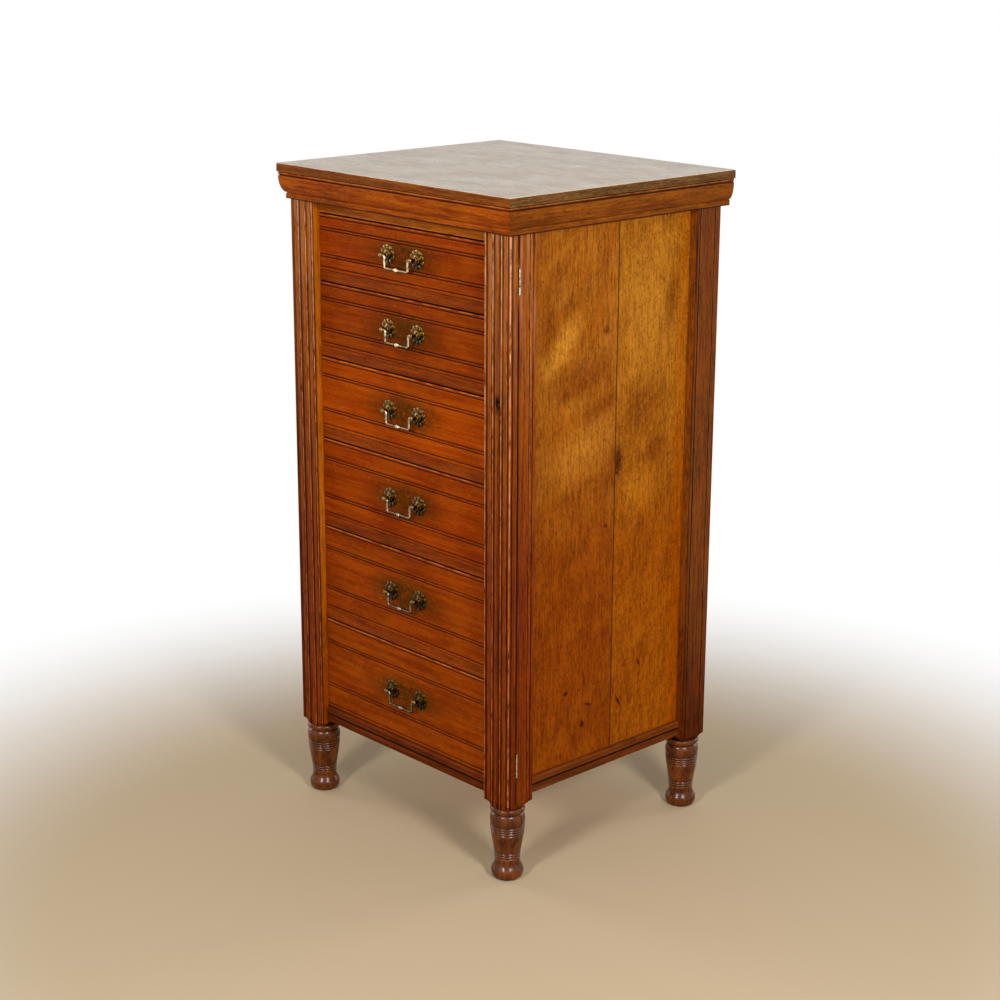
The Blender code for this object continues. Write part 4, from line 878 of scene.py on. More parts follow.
def panel_groove():
    """The groove for a side panel in a post's inner end, and the corner behind it."""
    outer = SIDE_RECESS - FIT
    inner = SIDE_RECESS + PANEL_THICK + FIT
    floor = POST_DEPTH - GROOVE_DEPTH
    plain = [(outer, floor), (inner, floor), (inner, POST_DEPTH), (POST_WIDTH, POST_DEPTH)]
    return [(BEAD_RISE + ARRIS, POST_DEPTH, 0.9), (outer, POST_DEPTH, 0.8)] + toned(plain)


def front_side():
    """A front post's side behind the corner bead, as distances in from the side and the front."""
    start = 2 * CORNER_BEAD
    return [(depth, start + along, shade) for along, depth, shade in mould(front_side_strips())]


def inner_return():
    """The inner face of a post beside the drawers, paler behind its bead."""
    return [
        (POST_WIDTH, FACE_Y + HALF_DEPTH, 0),
        (POST_WIDTH, BEAD_RISE + 4 * ARRIS, 0.9),
        (POST_WIDTH, BEAD_RISE + ARRIS, 0.9),
    ]


def front_post_outline():
    """A whole front post's plan, as distances in from the side and the front."""
    return moulded_front() + front_side() + panel_groove() + inner_return()


def hung_post_outline():
    """The post behind the locking stile: the front post less the stile."""
    seam = STILE_THICK + FIT / 2
    edge = [
        (FLAT_DEPTH + ARRIS, seam, -1),
        (FLAT_DEPTH, seam + 2 * ARRIS, -0.9),
        (FLAT_DEPTH, seam + 5 * ARRIS, 0.1),
    ]
    side = [point for point in front_side() if point[1] > seam + 6 * ARRIS]
    return edge + side + panel_groove() + [(POST_WIDTH, seam, 0)]


def back_side():
    """A back post's side, a little duller than a front one's."""
    return [(depth, along, shade - 0.2) for along, depth, shade in mould(back_side_strips())]


def back_post_outline():
    """A back post's plan, with a groove for the back."""
    outer = BACK_RECESS - FIT
    inner = BACK_RECESS + PANEL_THICK + FIT
    floor = POST_WIDTH - GROOVE_DEPTH
    groove = [(POST_WIDTH, inner), (floor, inner), (floor, outer), (POST_WIDTH, outer)]
    return back_side() + panel_groove() + toned(groove + [(POST_WIDTH, FLAT_DEPTH)])


def stile_outline():
    """The stile's plan, as distances in from the side and the front."""
    back = STILE_THICK - FIT / 2
    start = 2 * CORNER_BEAD
    side = [
        (QUIRK_DEPTH, start + QUIRK / 2, -1),
        (FLAT_DEPTH + ARRIS / 2, start + QUIRK - ARRIS / 2, -0.3),
        (FLAT_DEPTH, start + QUIRK, 0.3),
        (FLAT_DEPTH, start + QUIRK + 2 * ARRIS, 0.1),
        (FLAT_DEPTH, back - 5 * ARRIS, 0.1),
        (FLAT_DEPTH, back - 2 * ARRIS, -0.9),
        (FLAT_DEPTH + ARRIS, back, -1),
    ]
    return moulded_front() + side + [(POST_WIDTH, back, 0)] + inner_return()


def at_corner(outline, right, back):
    """Places distances in from a corner of the case. The signs say which corner."""
    placed = []
    for inward, behind, shade in outline:
        placed.append((right * (HALF_WIDTH - inward), back * (HALF_DEPTH - behind), shade))
    return placed


def vase_radius(height):
    """The foot's radius between its pad and its widest place."""
    share = (height - PAD_HEIGHT) / (WIDEST - PAD_HEIGHT)
    return WAIST_RADIUS + (VASE_RADIUS - WAIST_RADIUS) * (1 - math.cos(math.pi * share)) / 2


def ring_band(top, count):
    """Incised rings from a height down: round crests with painted highlights, and narrow dark grooves of
    painted shade between.
    """
    points = []
    for ring in range(count):
        for share, depth, shade in RING_SHAPE:
            height = top - (ring + share) * RING_PITCH
            points.append((vase_radius(height) - depth * RING_DEPTH, height, shade))
    return points


def foot_profile():
    """The foot from its collar down to the floor, as (radius, height, tone). The tones paint a highlight on
    the collar, and shade in the crease under it and near the floor.
    """
    middle = SHOULDER + COLLAR_HEIGHT / 2
    collar = arc((COLLAR_RADIUS - COLLAR_SWELL, middle), (COLLAR_SWELL, COLLAR_HEIGHT / 2), 80, -155, 14)
    points = [(0, SHOULDER + COLLAR_HEIGHT, 0)]
    points += toned(collar[:2], -0.6) + toned(collar[2:13], 0.5) + toned(collar[13:], -0.6)
    points.append((CREASE_RADIUS, SHOULDER, -1))
    swell = (VASE_RADIUS - CREASE_RADIUS, SHOULDER - WIDEST)
    for radius, height in arc((CREASE_RADIUS, WIDEST), swell, 70, -70, 9):
        points.append((radius, height, -0.5 if height > SHOULDER - 1 * MM else 0.2))
    points += ring_band(UPPER_RING_TOP, UPPER_RINGS)
    upper_end = points[-1][1]
    for step in range(1, VASE_STEPS):
        height = upper_end + (LOWER_RING_TOP - upper_end) * step / VASE_STEPS
        points.append((vase_radius(height), height, 0))
    points += ring_band(LOWER_RING_TOP, LOWER_RINGS)
    flare = vase_radius(PAD_FLARE_TOP)
    for step in range(PAD_STEPS + 1):
        share = step / PAD_STEPS
        radius = flare + (PAD_RADIUS - flare) * (1 - math.cos(math.pi * share)) / 2
        points.append((radius, PAD_FLARE_TOP + (PAD_SWELL - PAD_FLARE_TOP) * share, 0.2 * share - 0.1))
    pad = (PAD_RADIUS - BASE_RADIUS, PAD_SWELL)
    for radius, height in arc((BASE_RADIUS, PAD_SWELL), pad, -6, -84, PAD_STEPS):
        points.append((radius, height, -0.5 if height < 4 * MM else 0.1))
    return points + [(0, 0, -0.5)]


def neck_radius(height):
    """How far from the foot's axis a post reaches, where it is turned down to the collar."""
    if height < NECK_TURN:
        return NECK_RADIUS - (NECK_TURN - height) * NECK_SLOPE
    share = (height - NECK_TURN) / (FOOT_HEIGHT - NECK_TURN)
    return NECK_RADIUS + (NECK_FLARE - NECK_RADIUS) * share**2


def turned_end(work, outline, axis):
    """The lower end of a post's mouldings, turned round to meet the collar. A hair under the shaft."""
    outline = sorted(outline, key=lambda point: math.atan2(point[1] - axis.y, point[0] - axis.x))
    outline = [(across, along, shade - 0.3) for across, along, shade in outline]
    levels = levels_between(SHOULDER + COLLAR_HEIGHT - CUT_OVER, FOOT_HEIGHT - TURNED_END_GAP, NECK_STEP)
    for level, ring in zip(levels, run_outline(work, outline, levels, "Z")):
        limit = neck_radius(level)
        for vert in ring:
            away = vert.co.xy - axis.xy
            if away.length > limit:
                vert.co.xy = axis.xy + away * (limit / away.length)


def turn(work, profile, steps, at, towards="up"):
    """Adds a profile of (radius, height, tone) turned about an axis that points up or to the front."""
    tone = work.verts.layers.float.get("tone") or work.verts.layers.float.new("tone")
    before = set(work.verts)
    line = []
    for radius, height, shade in profile:
        vert = work.verts.new((radius, 0, height))
        vert[tone] = shade
        line.append(vert)
    geom = line + [work.edges.new(pair) for pair in zip(line, line[1:])]
    upright = (0, 0, 1)
    bmesh.ops.spin(work, geom=geom, cent=(0, 0, 0), axis=upright, angle=math.tau, steps=steps, use_merge=True)
    made = [vert for vert in work.verts if vert not in before]
    bmesh.ops.remove_doubles(work, verts=made, dist=MERGED)
    made = [vert for vert in work.verts if vert not in before]
    if towards == "front":
        bmesh.ops.rotate(work, verts=made, cent=(0, 0, 0), matrix=Matrix.Rotation(math.pi / 2, 3, "X"))
    bmesh.ops.translate(work, verts=made, vec=at)


def levels_between(low, high, step=RUN_STEP):
    """Even levels from low to high, about a step apart."""
    count = max(1, round((high - low) / step))
    return [low + (high - low) * index / count for index in range(count + 1)]


def make_post(name, right, back):
    """One corner post: its turned foot, and its moulded shaft with the turned end."""
    axis_x, axis_y, _ = at_corner([(FOOT_INSET_SIDE, FOOT_INSET_END, 0)], right, back)[0]
    axis = Vector((axis_x, axis_y, 0))
    foot = bmesh.new()
    turn(foot, foot_profile(), FOOT_STEPS, axis)
    finish_piece(name + "_foot", foot, [FOOT_OAK], "carcass", (name,), FOOT_SMOOTH_ANGLE)
    end = moulded_front() + front_side() if back < 0 else back_side()
    end += toned([(BEAD_RISE + ARRIS, POST_DEPTH), (POST_WIDTH, POST_DEPTH), (POST_WIDTH, BEAD_RISE + ARRIS)])
    outline = front_post_outline() if back < 0 else back_post_outline()
    start = FOOT_HEIGHT
    if name == "post_front_right":
        start = CORNICE_BOTTOM
        make_hung_post(name)
    shaft = bmesh.new()
    turned_end(shaft, at_corner(end, right, back), axis)
    run_outline(shaft, at_corner(outline, right, back), levels_between(start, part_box(name)[1].z), "Z")
    for face in shaft.faces:
        middle = face.calc_center_median()
        if abs(abs(middle.x) - INNER_X) < ARRIS / 2 and middle.y < FACE_Y:
            face.material_index = 1
    oaks = [POST_OAK if back < 0 else BACK_POST_OAK, RETURN_OAK]
    finish_piece(name + "_shaft", shaft, oaks, "carcass", (name,))


def hinge_heights():
    """The middle of the upper and the lower hinge."""
    boxes = [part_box(place + "_hinge_post_leaf") for place in ("upper", "lower")]
    return [(low.z + high.z) / 2 for low, high in boxes]


def hinge_recesses(side):
    """The recesses for the leaves and knuckles. Side is 1 in the post and -1 in the stile."""
    half = HINGE_LENGTH / 2 + FIT
    cuts = []
    for centre in hinge_heights():
        inner = HALF_WIDTH - HINGE_LEAF - FIT
        relief = HINGE_X - KNUCKLE_RADIUS - 2 * FIT
        for start, depth in ((inner, LEAF_THICK), (relief, KNUCKLE_RADIUS)):
            along = sorted((SEAM_Y - side * CUT_OVER, SEAM_Y + side * (depth + 2 * FIT)))
            low = (start, along[0], centre - half)
            cuts.append((low, (HALF_WIDTH + CUT_OVER, along[1], centre + half)))
    return cuts


def make_hung_post(name):
    """The right front post up to the cornice, rebated for the stile and cut for its hinges and lock."""
    plan = at_corner(hung_post_outline(), 1, -1)
    levels = levels_between(FOOT_HEIGHT, CORNICE_BOTTOM - FIT, STILE_STEP)
    post = run_piece(name + "_rebated", plan, levels, "Z", POST_OAK, name)
    case_low, case_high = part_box("lock_case")
    bolt_low, bolt_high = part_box("lock_bolt")
    inner = case_low.x - LOCK_SWING
    low = (inner, SEAM_Y - CUT_OVER, case_low.z - FIT)
    pocket = (low, (case_high.x + FIT, case_high.y + FIT, case_high.z + FIT))
    low = (bolt_low.x - BOLT_THROW - 2 * FIT, bolt_low.y - 2 * FIT, bolt_low.z - 2 * FIT)
    slot = (low, (inner + CUT_OVER, bolt_high.y + 2 * FIT, bolt_high.z + 2 * FIT))
    carve(post, pocket, slot, *hinge_recesses(1))


def keyhole():
    """A round eye over a narrow slot, right through the stile."""
    work = bmesh.new()
    half = KEYHOLE_SLOT / 2
    foot = KEYHOLE_Z - KEYHOLE_DROP
    opening = math.degrees(math.asin(half / KEYHOLE_EYE))
    eye = (KEYHOLE_EYE, KEYHOLE_EYE)
    outline = arc((LOCK_X, KEYHOLE_Z), eye, opening - 90, 360 - 2 * opening, KEYHOLE_STEPS)
    outline += [(LOCK_X - half, foot), (LOCK_X + half, foot)]
    # The walls of the hole take painted shade
    run_outline(work, toned(outline, -1), [-HALF_DEPTH - CUT_OVER, SEAM_Y + CUT_OVER], "Y")
    bmesh.ops.recalc_face_normals(work, faces=work.faces)
    return work


def make_stile():
    """The locking stile, let in at the back for its hinges and lock."""
    node = "locking_stile"
    low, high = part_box(node)
    plan = at_corner(stile_outline(), 1, -1)
    levels = levels_between(low.z, high.z, STILE_STEP)
    stile = run_piece(node + "_face", plan, levels, "Z", STILE_OAK, node, "stile")
    case_low, case_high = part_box("lock_case")
    gap = Vector((FIT, FIT, FIT))
    carve(stile, (case_low - gap, case_high + gap), *hinge_recesses(-1))
    cut_with(stile, keyhole())


def add_screw(work, at, facing):
    """A slotted screw head that faces the front (-1) or the back (1)."""
    opening = math.degrees(math.asin(SCREW_SLOT / 2 / SCREW_RADIUS))
    for start in (opening, 180 + opening):
        rim = arc((at[0], at[2]), (SCREW_RADIUS, SCREW_RADIUS), start, 180 - 2 * opening, SCREW_STEPS)
        run_outline(work, toned(rim, 0.4), sorted((at[1], at[1] + facing * SCREW_PROUD)), "Y")


def make_hinge(place, centre):
    """A butt hinge in three knuckles: the post's leaf has the outer two and the stile's the middle one."""
    third = HINGE_LENGTH / 3
    gap = FIT / 2
    low = centre - HINGE_LENGTH / 2
    inner = HALF_WIDTH - HINGE_LEAF
    notch = HINGE_X - KNUCKLE_RADIUS - 2 * FIT
    eased = 0.4 * MM
    for owner, body, side in (("post", "carcass", 1), ("stile", "stile", -1)):
        node = f"{place}_hinge_{owner}_leaf"
        work = bmesh.new()
        faces = sorted((SEAM_Y + side * gap, SEAM_Y + side * (gap + LEAF_THICK)))
        plate = [(inner, low), (notch, low), (notch, low + HINGE_LENGTH), (inner, low + HINGE_LENGTH)]
        run_outline(work, toned(plate), faces, "Y")
        for part in (0, 2) if owner == "post" else (1,):
            start = low + part * third + gap
            end = low + (part + 1) * third - gap
            arm = [(notch - gap, start), (HINGE_X, start), (HINGE_X, end), (notch - gap, end)]
            run_outline(work, toned(arm), faces, "Y")
            # The knuckle's tone paints a highlight along it
            rim = KNUCKLE_RADIUS - eased
            barrel = [(0, end, 0), (rim, end, 0.2), (KNUCKLE_RADIUS, end - eased, 1.2)]
            barrel += [(KNUCKLE_RADIUS, start + eased, 1.2), (rim, start, -0.3), (0, start, 0)]
            turn(work, barrel, KNUCKLE_STEPS, (HINGE_X, SEAM_Y, 0))
        for step, across in HINGE_SCREWS:
            add_screw(work, (inner + across, SEAM_Y + side * gap, centre + step * HINGE_SCREW_STEP), -side)
        finish_piece(node + "_brass", work, [HINGE_BRASS], body, (node,))


def make_lock():
    """The lock's case with its screws, and its bolt."""
    low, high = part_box("lock_case")
    dressed("lock_case", [IRON], "stile", 0.6 * MM)
    work = bmesh.new()
    for across in (low.x + LOCK_SCREW_IN, high.x - LOCK_SCREW_IN):
        for height in (low.z + LOCK_SCREW_UP, high.z - LOCK_SCREW_UP):
            add_screw(work, (across, high.y, height), 1)
    finish_piece("lock_screws", work, [IRON], "stile")
    dressed("lock_bolt", [BRASS], "lock_bolt", 0.4 * MM)


def dressed(node, materials, body, width=EASED):
    """A piece made from a node's own solid, with its arrises eased."""
    work = bmesh.new()
    work.from_mesh(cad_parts[node].data)
    bmesh.ops.remove_doubles(work, verts=work.verts, dist=SOLID_MERGED)
    bmesh.ops.dissolve_limit(work, angle_limit=FLAT_ANGLE, verts=work.verts, edges=work.edges)
    for face in work.faces:
        face.material_index = 0
    ease(finish_piece(node + "_eased", work, materials, body, (node,)), width)


def cornice_section(overhang):
    """A cornice as (outward, height, tone): a fillet, an ovolo, a quirk and a bead under the top."""
    low = CORNICE_BOTTOM
    half = CORNICE_BEAD / 2
    bead_low = TOP_BOTTOM - FIT - CORNICE_BEAD
    ovolo_top = bead_low - CORNICE_QUIRK
    ovolo_foot = low + OVOLO_FOOT
    fillet_top = ovolo_foot - CORNICE_QUIRK
    out = overhang - CORNICE_SETBACK
    inner = FILLET_OUT - CORNICE_QUIRK
    # Tones: painted shade under the fillet and over the bead's upper side beneath the top, grime and painted
    # shade in the quirks, and a painted highlight on the fillet's upper arris, the ovolo's top and the bead's
    # crest
    points = [
        (FIT, low, -1),
        (FILLET_OUT - ARRIS, low, -1),
        (FILLET_OUT, low + ARRIS, -1),
        (FILLET_OUT, low + 3 * ARRIS, -0.7),
        (FILLET_OUT, low + 5 * ARRIS, 0),
        (FILLET_OUT, fillet_top - 2 * ARRIS, 0.1),
        (FILLET_OUT, fillet_top - ARRIS, 1.1),
        (FILLET_OUT - ARRIS, fillet_top, 0.7),
        (inner, ovolo_foot, -0.5),
    ]
    ovolo = arc((inner, ovolo_top), (out - inner, ovolo_top - ovolo_foot), -80, 80, 18)
    points += toned(ovolo[:17]) + toned(ovolo[17:], 0.5)
    points += [(out - CORNICE_QUIRK, ovolo_top, -0.9), (out - CORNICE_QUIRK, bead_low, -0.8)]
    bead = arc((out - half, bead_low + half), (half, half), -90, 180, 12)
    points += toned(bead[:4], -1) + toned(bead[4:7], 0.1) + toned(bead[7:9], 1.2) + toned(bead[9:], -1)
    return points + [(FIT, TOP_BOTTOM - FIT, 0)]


def mitre(rings, axis, ends):
    """Slides the ends of a moulding out with its projection. Each end gives its place and its slope."""
    across = 1 - axis
    face = HALF_DEPTH if axis == 0 else HALF_WIDTH
    for ring, (place, slope) in zip((rings[0], rings[-1]), ends):
        for vert in ring:
            vert.co[axis] = place + slope * (abs(vert.co[across]) - face)


def make_cornice():
    """Three mouldings, mitred at the front corners and cut square at the back."""
    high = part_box("top_board")[1]
    side_over = high.x - HALF_WIDTH
    end_over = high.y - HALF_DEPTH
    share = side_over / end_over
    place = HALF_WIDTH - FIT
    front = FIT - HALF_DEPTH
    work = bmesh.new()
    section = [(-HALF_DEPTH - out, height, shade) for out, height, shade in cornice_section(end_over)]
    rings = run_outline(work, section, levels_between(-place, place), "X")
    mitre(rings, 0, ((-place, -share), (place, share)))
    finish_piece("cornice_front_moulding", work, [CORNICE_OAK], "carcass", ("cornice_front",))
    for name, right in SIDES:
        node = "cornice_" + name
        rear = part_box(node)[1].y
        work = bmesh.new()
        section = cornice_section(side_over)
        section = [(right * (HALF_WIDTH + out), height, shade) for out, height, shade in section]
        rings = run_outline(work, section, levels_between(front, rear), "Y")
        mitre(rings, 1, ((front, -1 / share), (rear, 0)))
        finish_piece(node + "_moulding", work, [SIDE_CORNICE_OAK], "carcass", (node,))


def rail_section(low, high):
    """A bottom rail as (inward, height, tone): a band, a cove and a nose."""
    outer = RAIL_RECESS
    back = RAIL_RECESS + RAIL_THICK
    cove = low + RAIL_COVE
    band = cove + COVE_WIDTH
    half = COVE_WIDTH / 2
    # Tones: grime and painted shade in the cove, and a painted highlight on the top of the nose
    points = [(outer + ARRIS, low, 0), (outer, low + ARRIS, 0.3), (outer, low + 3 * ARRIS, 0)]
    points += [(outer, cove - 2 * ARRIS, 0), (outer, cove - ARRIS, 0.4), (outer + ARRIS, cove, -0.5)]
    points += toned(arc((outer + 1.2 * MM, cove + half), (1.6 * MM, half), -90, 180, 8), -1)
    points += [(outer + ARRIS, band, -0.6), (outer, band + ARRIS, 0.2)]
    nose = arc((outer + RAIL_NOSE, high - RAIL_NOSE), (RAIL_NOSE, RAIL_NOSE), 180, -90, 10)
    points += toned(nose[:3], 0.1) + toned(nose[3:7], 0.5) + toned(nose[7:], 0.1)
    return points + [(back, high, -0.3), (back, low, 0)]


def make_rails():
    """The moulded rails under the side panels and under the lowest drawer."""
    node = "front_bottom_rail"
    low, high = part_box(node)
    half = INNER_X - FIT
    section = [(inward - HALF_DEPTH, height, shade) for inward, height, shade in rail_section(low.z, high.z)]
    levels = levels_between(-half, half)
    run_piece(node + "_moulding", section, levels, "X", FRONT_RAIL_OAK, node)
    reach = HALF_DEPTH - POST_DEPTH - FIT
    levels = levels_between(-reach, reach)
    for name, right in SIDES:
        node = "side_rail_" + name
        section = rail_section(low.z, high.z)
        section = [(right * (HALF_WIDTH - inward), height, shade) for inward, height, shade in section]
        run_piece(node + "_moulding", section, levels, "Y", SIDE_RAIL_OAK, node)


def wobble(place):
    """A small unevenness between 0 and 1 along an old edge."""
    waves = math.sin(place * 61) + math.sin(place * 147 + 1.3) + math.sin(place * 331 + 2.1)
    return (waves / 3 + 1) / 2


def top_ring(half_x, half_y, inset, wear):
    """Points round the top, in from its edge by an inset and by wear here and there."""
    across = levels_between(-half_x, half_x, TOP_POINT_SPACING)
    along = levels_between(-half_y, half_y, TOP_POINT_SPACING)
    ring = [(x, -half_y, 0, 1) for x in across[1:-1]] + [(half_x, -half_y, -1, 1)]
    ring += [(half_x, y, -1, 0) for y in along[1:-1]] + [(half_x, half_y, -1, -1)]
    ring += [(x, half_y, 0, -1) for x in reversed(across[1:-1])] + [(-half_x, half_y, 1, -1)]
    ring += [(-half_x, y, 1, 0) for y in reversed(along[1:-1])] + [(-half_x, -half_y, 1, 1)]
    made = []
    for x, y, in_x, in_y in ring:
        depth = inset + wear * wobble(x + 3 * y)
        made.append((x + in_x * depth, y + in_y * depth))
    return made


def make_top():
    """The top board: rubbed arrises, a pale face, faded and with painted reflection in its colour, and end
    grain at the sides.
    """
    low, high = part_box("top_board")
    thick = (high.z - low.z) / MM
    # The edge from below to above, as inset, height, tone and wear, in millimetres: painted shade on its
    # underside, and its upper arrises rubbed pale
    edge = [(1.2, 0, -0.6, 0), (0.3, 0.5, 0, 0.2), (0.05, 1.4, 0.5, 0.2), (0.05, 2.6, 0, 0.2)]
    edge += [(0.05, thick - 3.4, 0, 0.2), (0.1, thick - 2, 0.6, 0.5), (0.5, thick - 0.9, 1, 0.6)]
    edge += [(1.2, thick - 0.25, 1, 0.7), (2.2, thick, 0.6, 0.7), (6, thick, 0, 0)]
    rings = []
    for inset, height, shade, wear in edge:
        outline = top_ring(high.x, high.y, inset * MM, wear * MM)
        rings.append([((x, y, low.z + height * MM), shade) for x, y in outline])
    work = bmesh.new()
    loft(work, rings)
    bmesh.ops.recalc_face_normals(work, faces=work.faces)
    work.normal_update()
    for face in work.faces:
        if face.normal.z < 0.5:
            face.material_index = 2 if abs(face.normal.x) > abs(face.normal.y) else 1
    oaks = [TOP_OAK, EDGE_OAK, END_OAK]
    finish_piece("top_board_slab", work, oaks, "carcass", ("top_board",))


def face_section(height, inset):
    """A drawer front's face as (behind, up, tone): edge beads and pairs of incised lines."""
    bead = FRONT_BEAD / 2
    half = LINE_WIDTH / 2
    back = FRONT_LAP + 0.2 * MM
    lines = [FRONT_BEAD + half, inset, inset + LINE_SPACING]
    lines += [height - line for line in reversed(lines)]
    # Painted shade under the lower bead and over the top of the upper one, under the dark gap above the
    # drawer, with a painted highlight just below that
    lower = arc((bead, bead), (bead, bead), -90, -90, 8)
    points = [(back, 0, -0.8)] + toned(lower[:3], -0.8) + toned(lower[3:], 0.4)
    for line in lines:
        points += [(depth, line + place * half, shade) for place, depth, shade in LINE_SHAPE]
    upper = arc((bead, height - 1.4 * bead), (bead, 1.4 * bead), 180, -90, 10)
    points += toned(upper[:2], 0.2) + toned(upper[2:5], 1.5) + toned(upper[5:], -1)
    return points + [(back, height, -1)]


def tails(height):
    """The dovetails up a drawer side, as their low and high edges at the root and at the end."""
    count = max(2, round(height / TAIL_PITCH))
    pitch = height / count
    made = []
    for place in range(count):
        low = place * pitch + PIN_HALF
        high = (place + 1) * pitch - PIN_HALF
        made.append((low + TAIL_SLOPE, low, high, high - TAIL_SLOPE))
    return made


def make_drawer(number):
    """A drawer: its front, its dovetailed sides, back and bottom, and its handle."""
    name = f"drawer_{number}"
    low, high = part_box(name + "_front")
    tray_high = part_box(name + "_tray")[1]
    height = high.z - low.z
    half = high.x
    inner = half - TRAY_SIDE
    face = low.y
    lap = face + FRONT_LAP
    root = face + FRONT_THICK
    edges = tails(tray_high.z - low.z)
    work = bmesh.new()
    inset = LINE_INSET + (number - 1) * LINE_INSET_STEP
    section = [(face + behind, low.z + up, shade) for behind, up, shade in face_section(height, inset)]
    run_outline(work, section, levels_between(-half, half, FRONT_STEP), "X")
    back = [(lap, low.z), (lap, high.z), (root, high.z), (root, low.z)]
    run_outline(work, toned(back), [FIT - inner, inner - FIT], "X", 1)
    ends = [(0, 0)] + [level for edge in edges for level in ((edge[0], edge[1]), (edge[3], edge[2]))]
    ends.append((height, height))
    for lower, upper in zip(ends[::2], ends[1::2]):
        pin = [(root, low.z + lower[0]), (lap - FIT, low.z + lower[1]), (lap - FIT, low.z + upper[1])]
        pin.append((root, low.z + upper[0]))
        for right in (-1, 1):
            levels = sorted((right * (inner - CUT_OVER), right * half))
            run_outline(work, toned(pin), levels, "X", 2)
    oaks = [FRONT_OAKS[number - 1], BARE_OAK_X, BARE_END_OAK]
    finish_piece(name + "_front_face", work, oaks, name, (name + "_front",))
    make_tray(name, edges, low.z, tray_high, (lap + FIT, root), (inner, half))
    middle = (low.z + high.z) / 2
    for side, right in SIDES:
        at = (HANDLE_X + right * HANDLE_SPACING / 2, face, middle)
        node = f"{name}_rose_{side}"
        place_copy(node + "_cast", ROSE, at, name, (node,))
    node = name + "_bail"
    place_copy(node + "_wire", BAIL, (HANDLE_X, face - POMMEL_OUT, middle), node, (node,))


def make_tray(name, edges, bottom, high, front, across):
    """A drawer's sides with their dovetails, its back and its bottom."""
    end, root = front
    inner, half = across
    side = [(high.y, bottom), (root, bottom)]
    for low_root, low_end, high_end, high_root in edges:
        side += [(root, bottom + low_root + TRAY_CLEARANCE), (end, bottom + low_end + TRAY_CLEARANCE)]
        side += [(end, bottom + high_end - TRAY_CLEARANCE), (root, bottom + high_root - TRAY_CLEARANCE)]
    side += [(root, high.z), (high.y, high.z)]
    work = bmesh.new()
    for right in (-1, 1):
        run_outline(work, toned(side), sorted((right * inner, right * half)), "X")
    rear = high.y - TRAY_BACK
    wall = [(rear, bottom), (high.y - FIT, bottom), (high.y - FIT, high.z - FIT), (rear, high.z - FIT)]
    floor = bottom + TRAY_BOTTOM_LIFT
    housed = root - TRAY_HOUSING
    above = floor + TRAY_BOTTOM
    board = [(housed, floor), (rear + FIT, floor), (rear + FIT, above), (housed, above)]
    for outline in (wall, board):
        run_outline(work, toned(outline), [-inner - FIT, inner + FIT], "X", 1)
    node = name + "_tray"
    tray = finish_piece(node + "_boards", work, [BARE_OAK_Y, BARE_OAK_X], name, (node,))
    ease(tray, 0.4 * MM)


def place_copy(name, casting, at, body, replaced):
    """A casting at its place on the chest."""
    mesh = casting.copy()
    mesh.name = name
    mesh.transform(Matrix.Translation(at))
    mounted(name, mesh, body, replaced)


def rose_relief(share, petal):
    """A rose's height and tone at a share of its radius. Petal is 0 between two petals and 1 amid one."""
    if share > ROSE_BOSS:
        swell = math.sin(math.pi * (1 - share) / (1 - ROSE_BOSS)) ** 0.6 if share < 1 else 0
        height = ROSE_RIM + swell * (PETAL_GAP_RISE + PETAL_RISE * petal)
        # Petal crests pale with wear and painted highlight, and dark between the petals with patina and
        # painted shade
        return height, swell * (1.1 * petal**2 - 0.75) - 0.15
    dome = math.cos(share / ROSE_BOSS * math.pi / 2)
    # The boss is dark round its foot, with patina and painted shade
    return BOSS_FOOT + BOSS_RISE * dome**0.8, -1 if share > 0.45 else -0.2


def rose_ring(share):
    """A ring of the rose at a share of its radius, scalloped towards the rim, with painted light above and
    painted shade below.
    """
    ring = []
    for spoke in range(ROSE_SPOKES):
        angle = math.tau * spoke / ROSE_SPOKES
        petal = abs(math.sin(angle * ROSE_LOBES / 2))
        scallop = ROSE_SCALLOP * (1 - petal) * max(0, (share - ROSE_BOSS) / (1 - ROSE_BOSS))
        radius = ROSE_RADIUS * share - scallop
        height, shade = rose_relief(share, petal)
        place = (radius * math.cos(angle), -FIT - height, radius * math.sin(angle))
        # Painted light on the upper half of the rose and painted shade on the lower
        ring.append((place, shade + 0.45 * math.sin(angle)))
    return ring


def rose_mesh():
    """A cast rose of petals round a boss."""
    rings = [rose_ring(share) for share in ROSE_RINGS]
    # The back rim, against the drawer front, takes painted shade
    back = [((place[0], -2 * FIT, place[2]), -1) for place, _ in rings[0]]
    work = bmesh.new()
    loft(work, [back, *rings])
    return work


def pommel_mesh():
    """The pommel's ball, neck and collar, and its shank and nut behind the drawer front."""
    ball = toned(arc((0, POMMEL_OUT), (POMMEL_RADIUS, POMMEL_RADIUS), 90, -138, 16), 0.5)
    ball[0] = (0, POMMEL_OUT + POMMEL_RADIUS, 0.5)
    neck = [(radius * MM, out * MM, shade) for radius, out, shade in POMMEL_NECK]
    inner = -FRONT_THICK - FIT
    end = inner - NUT_THICK
    nut = toned([(SHANK_RADIUS, inner), (NUT_RADIUS, inner), (NUT_RADIUS, end), (0, end)])
    work = bmesh.new()
    turn(work, ball + neck + nut, POMMEL_STEPS, (0, 0, 0), "front")
    return work


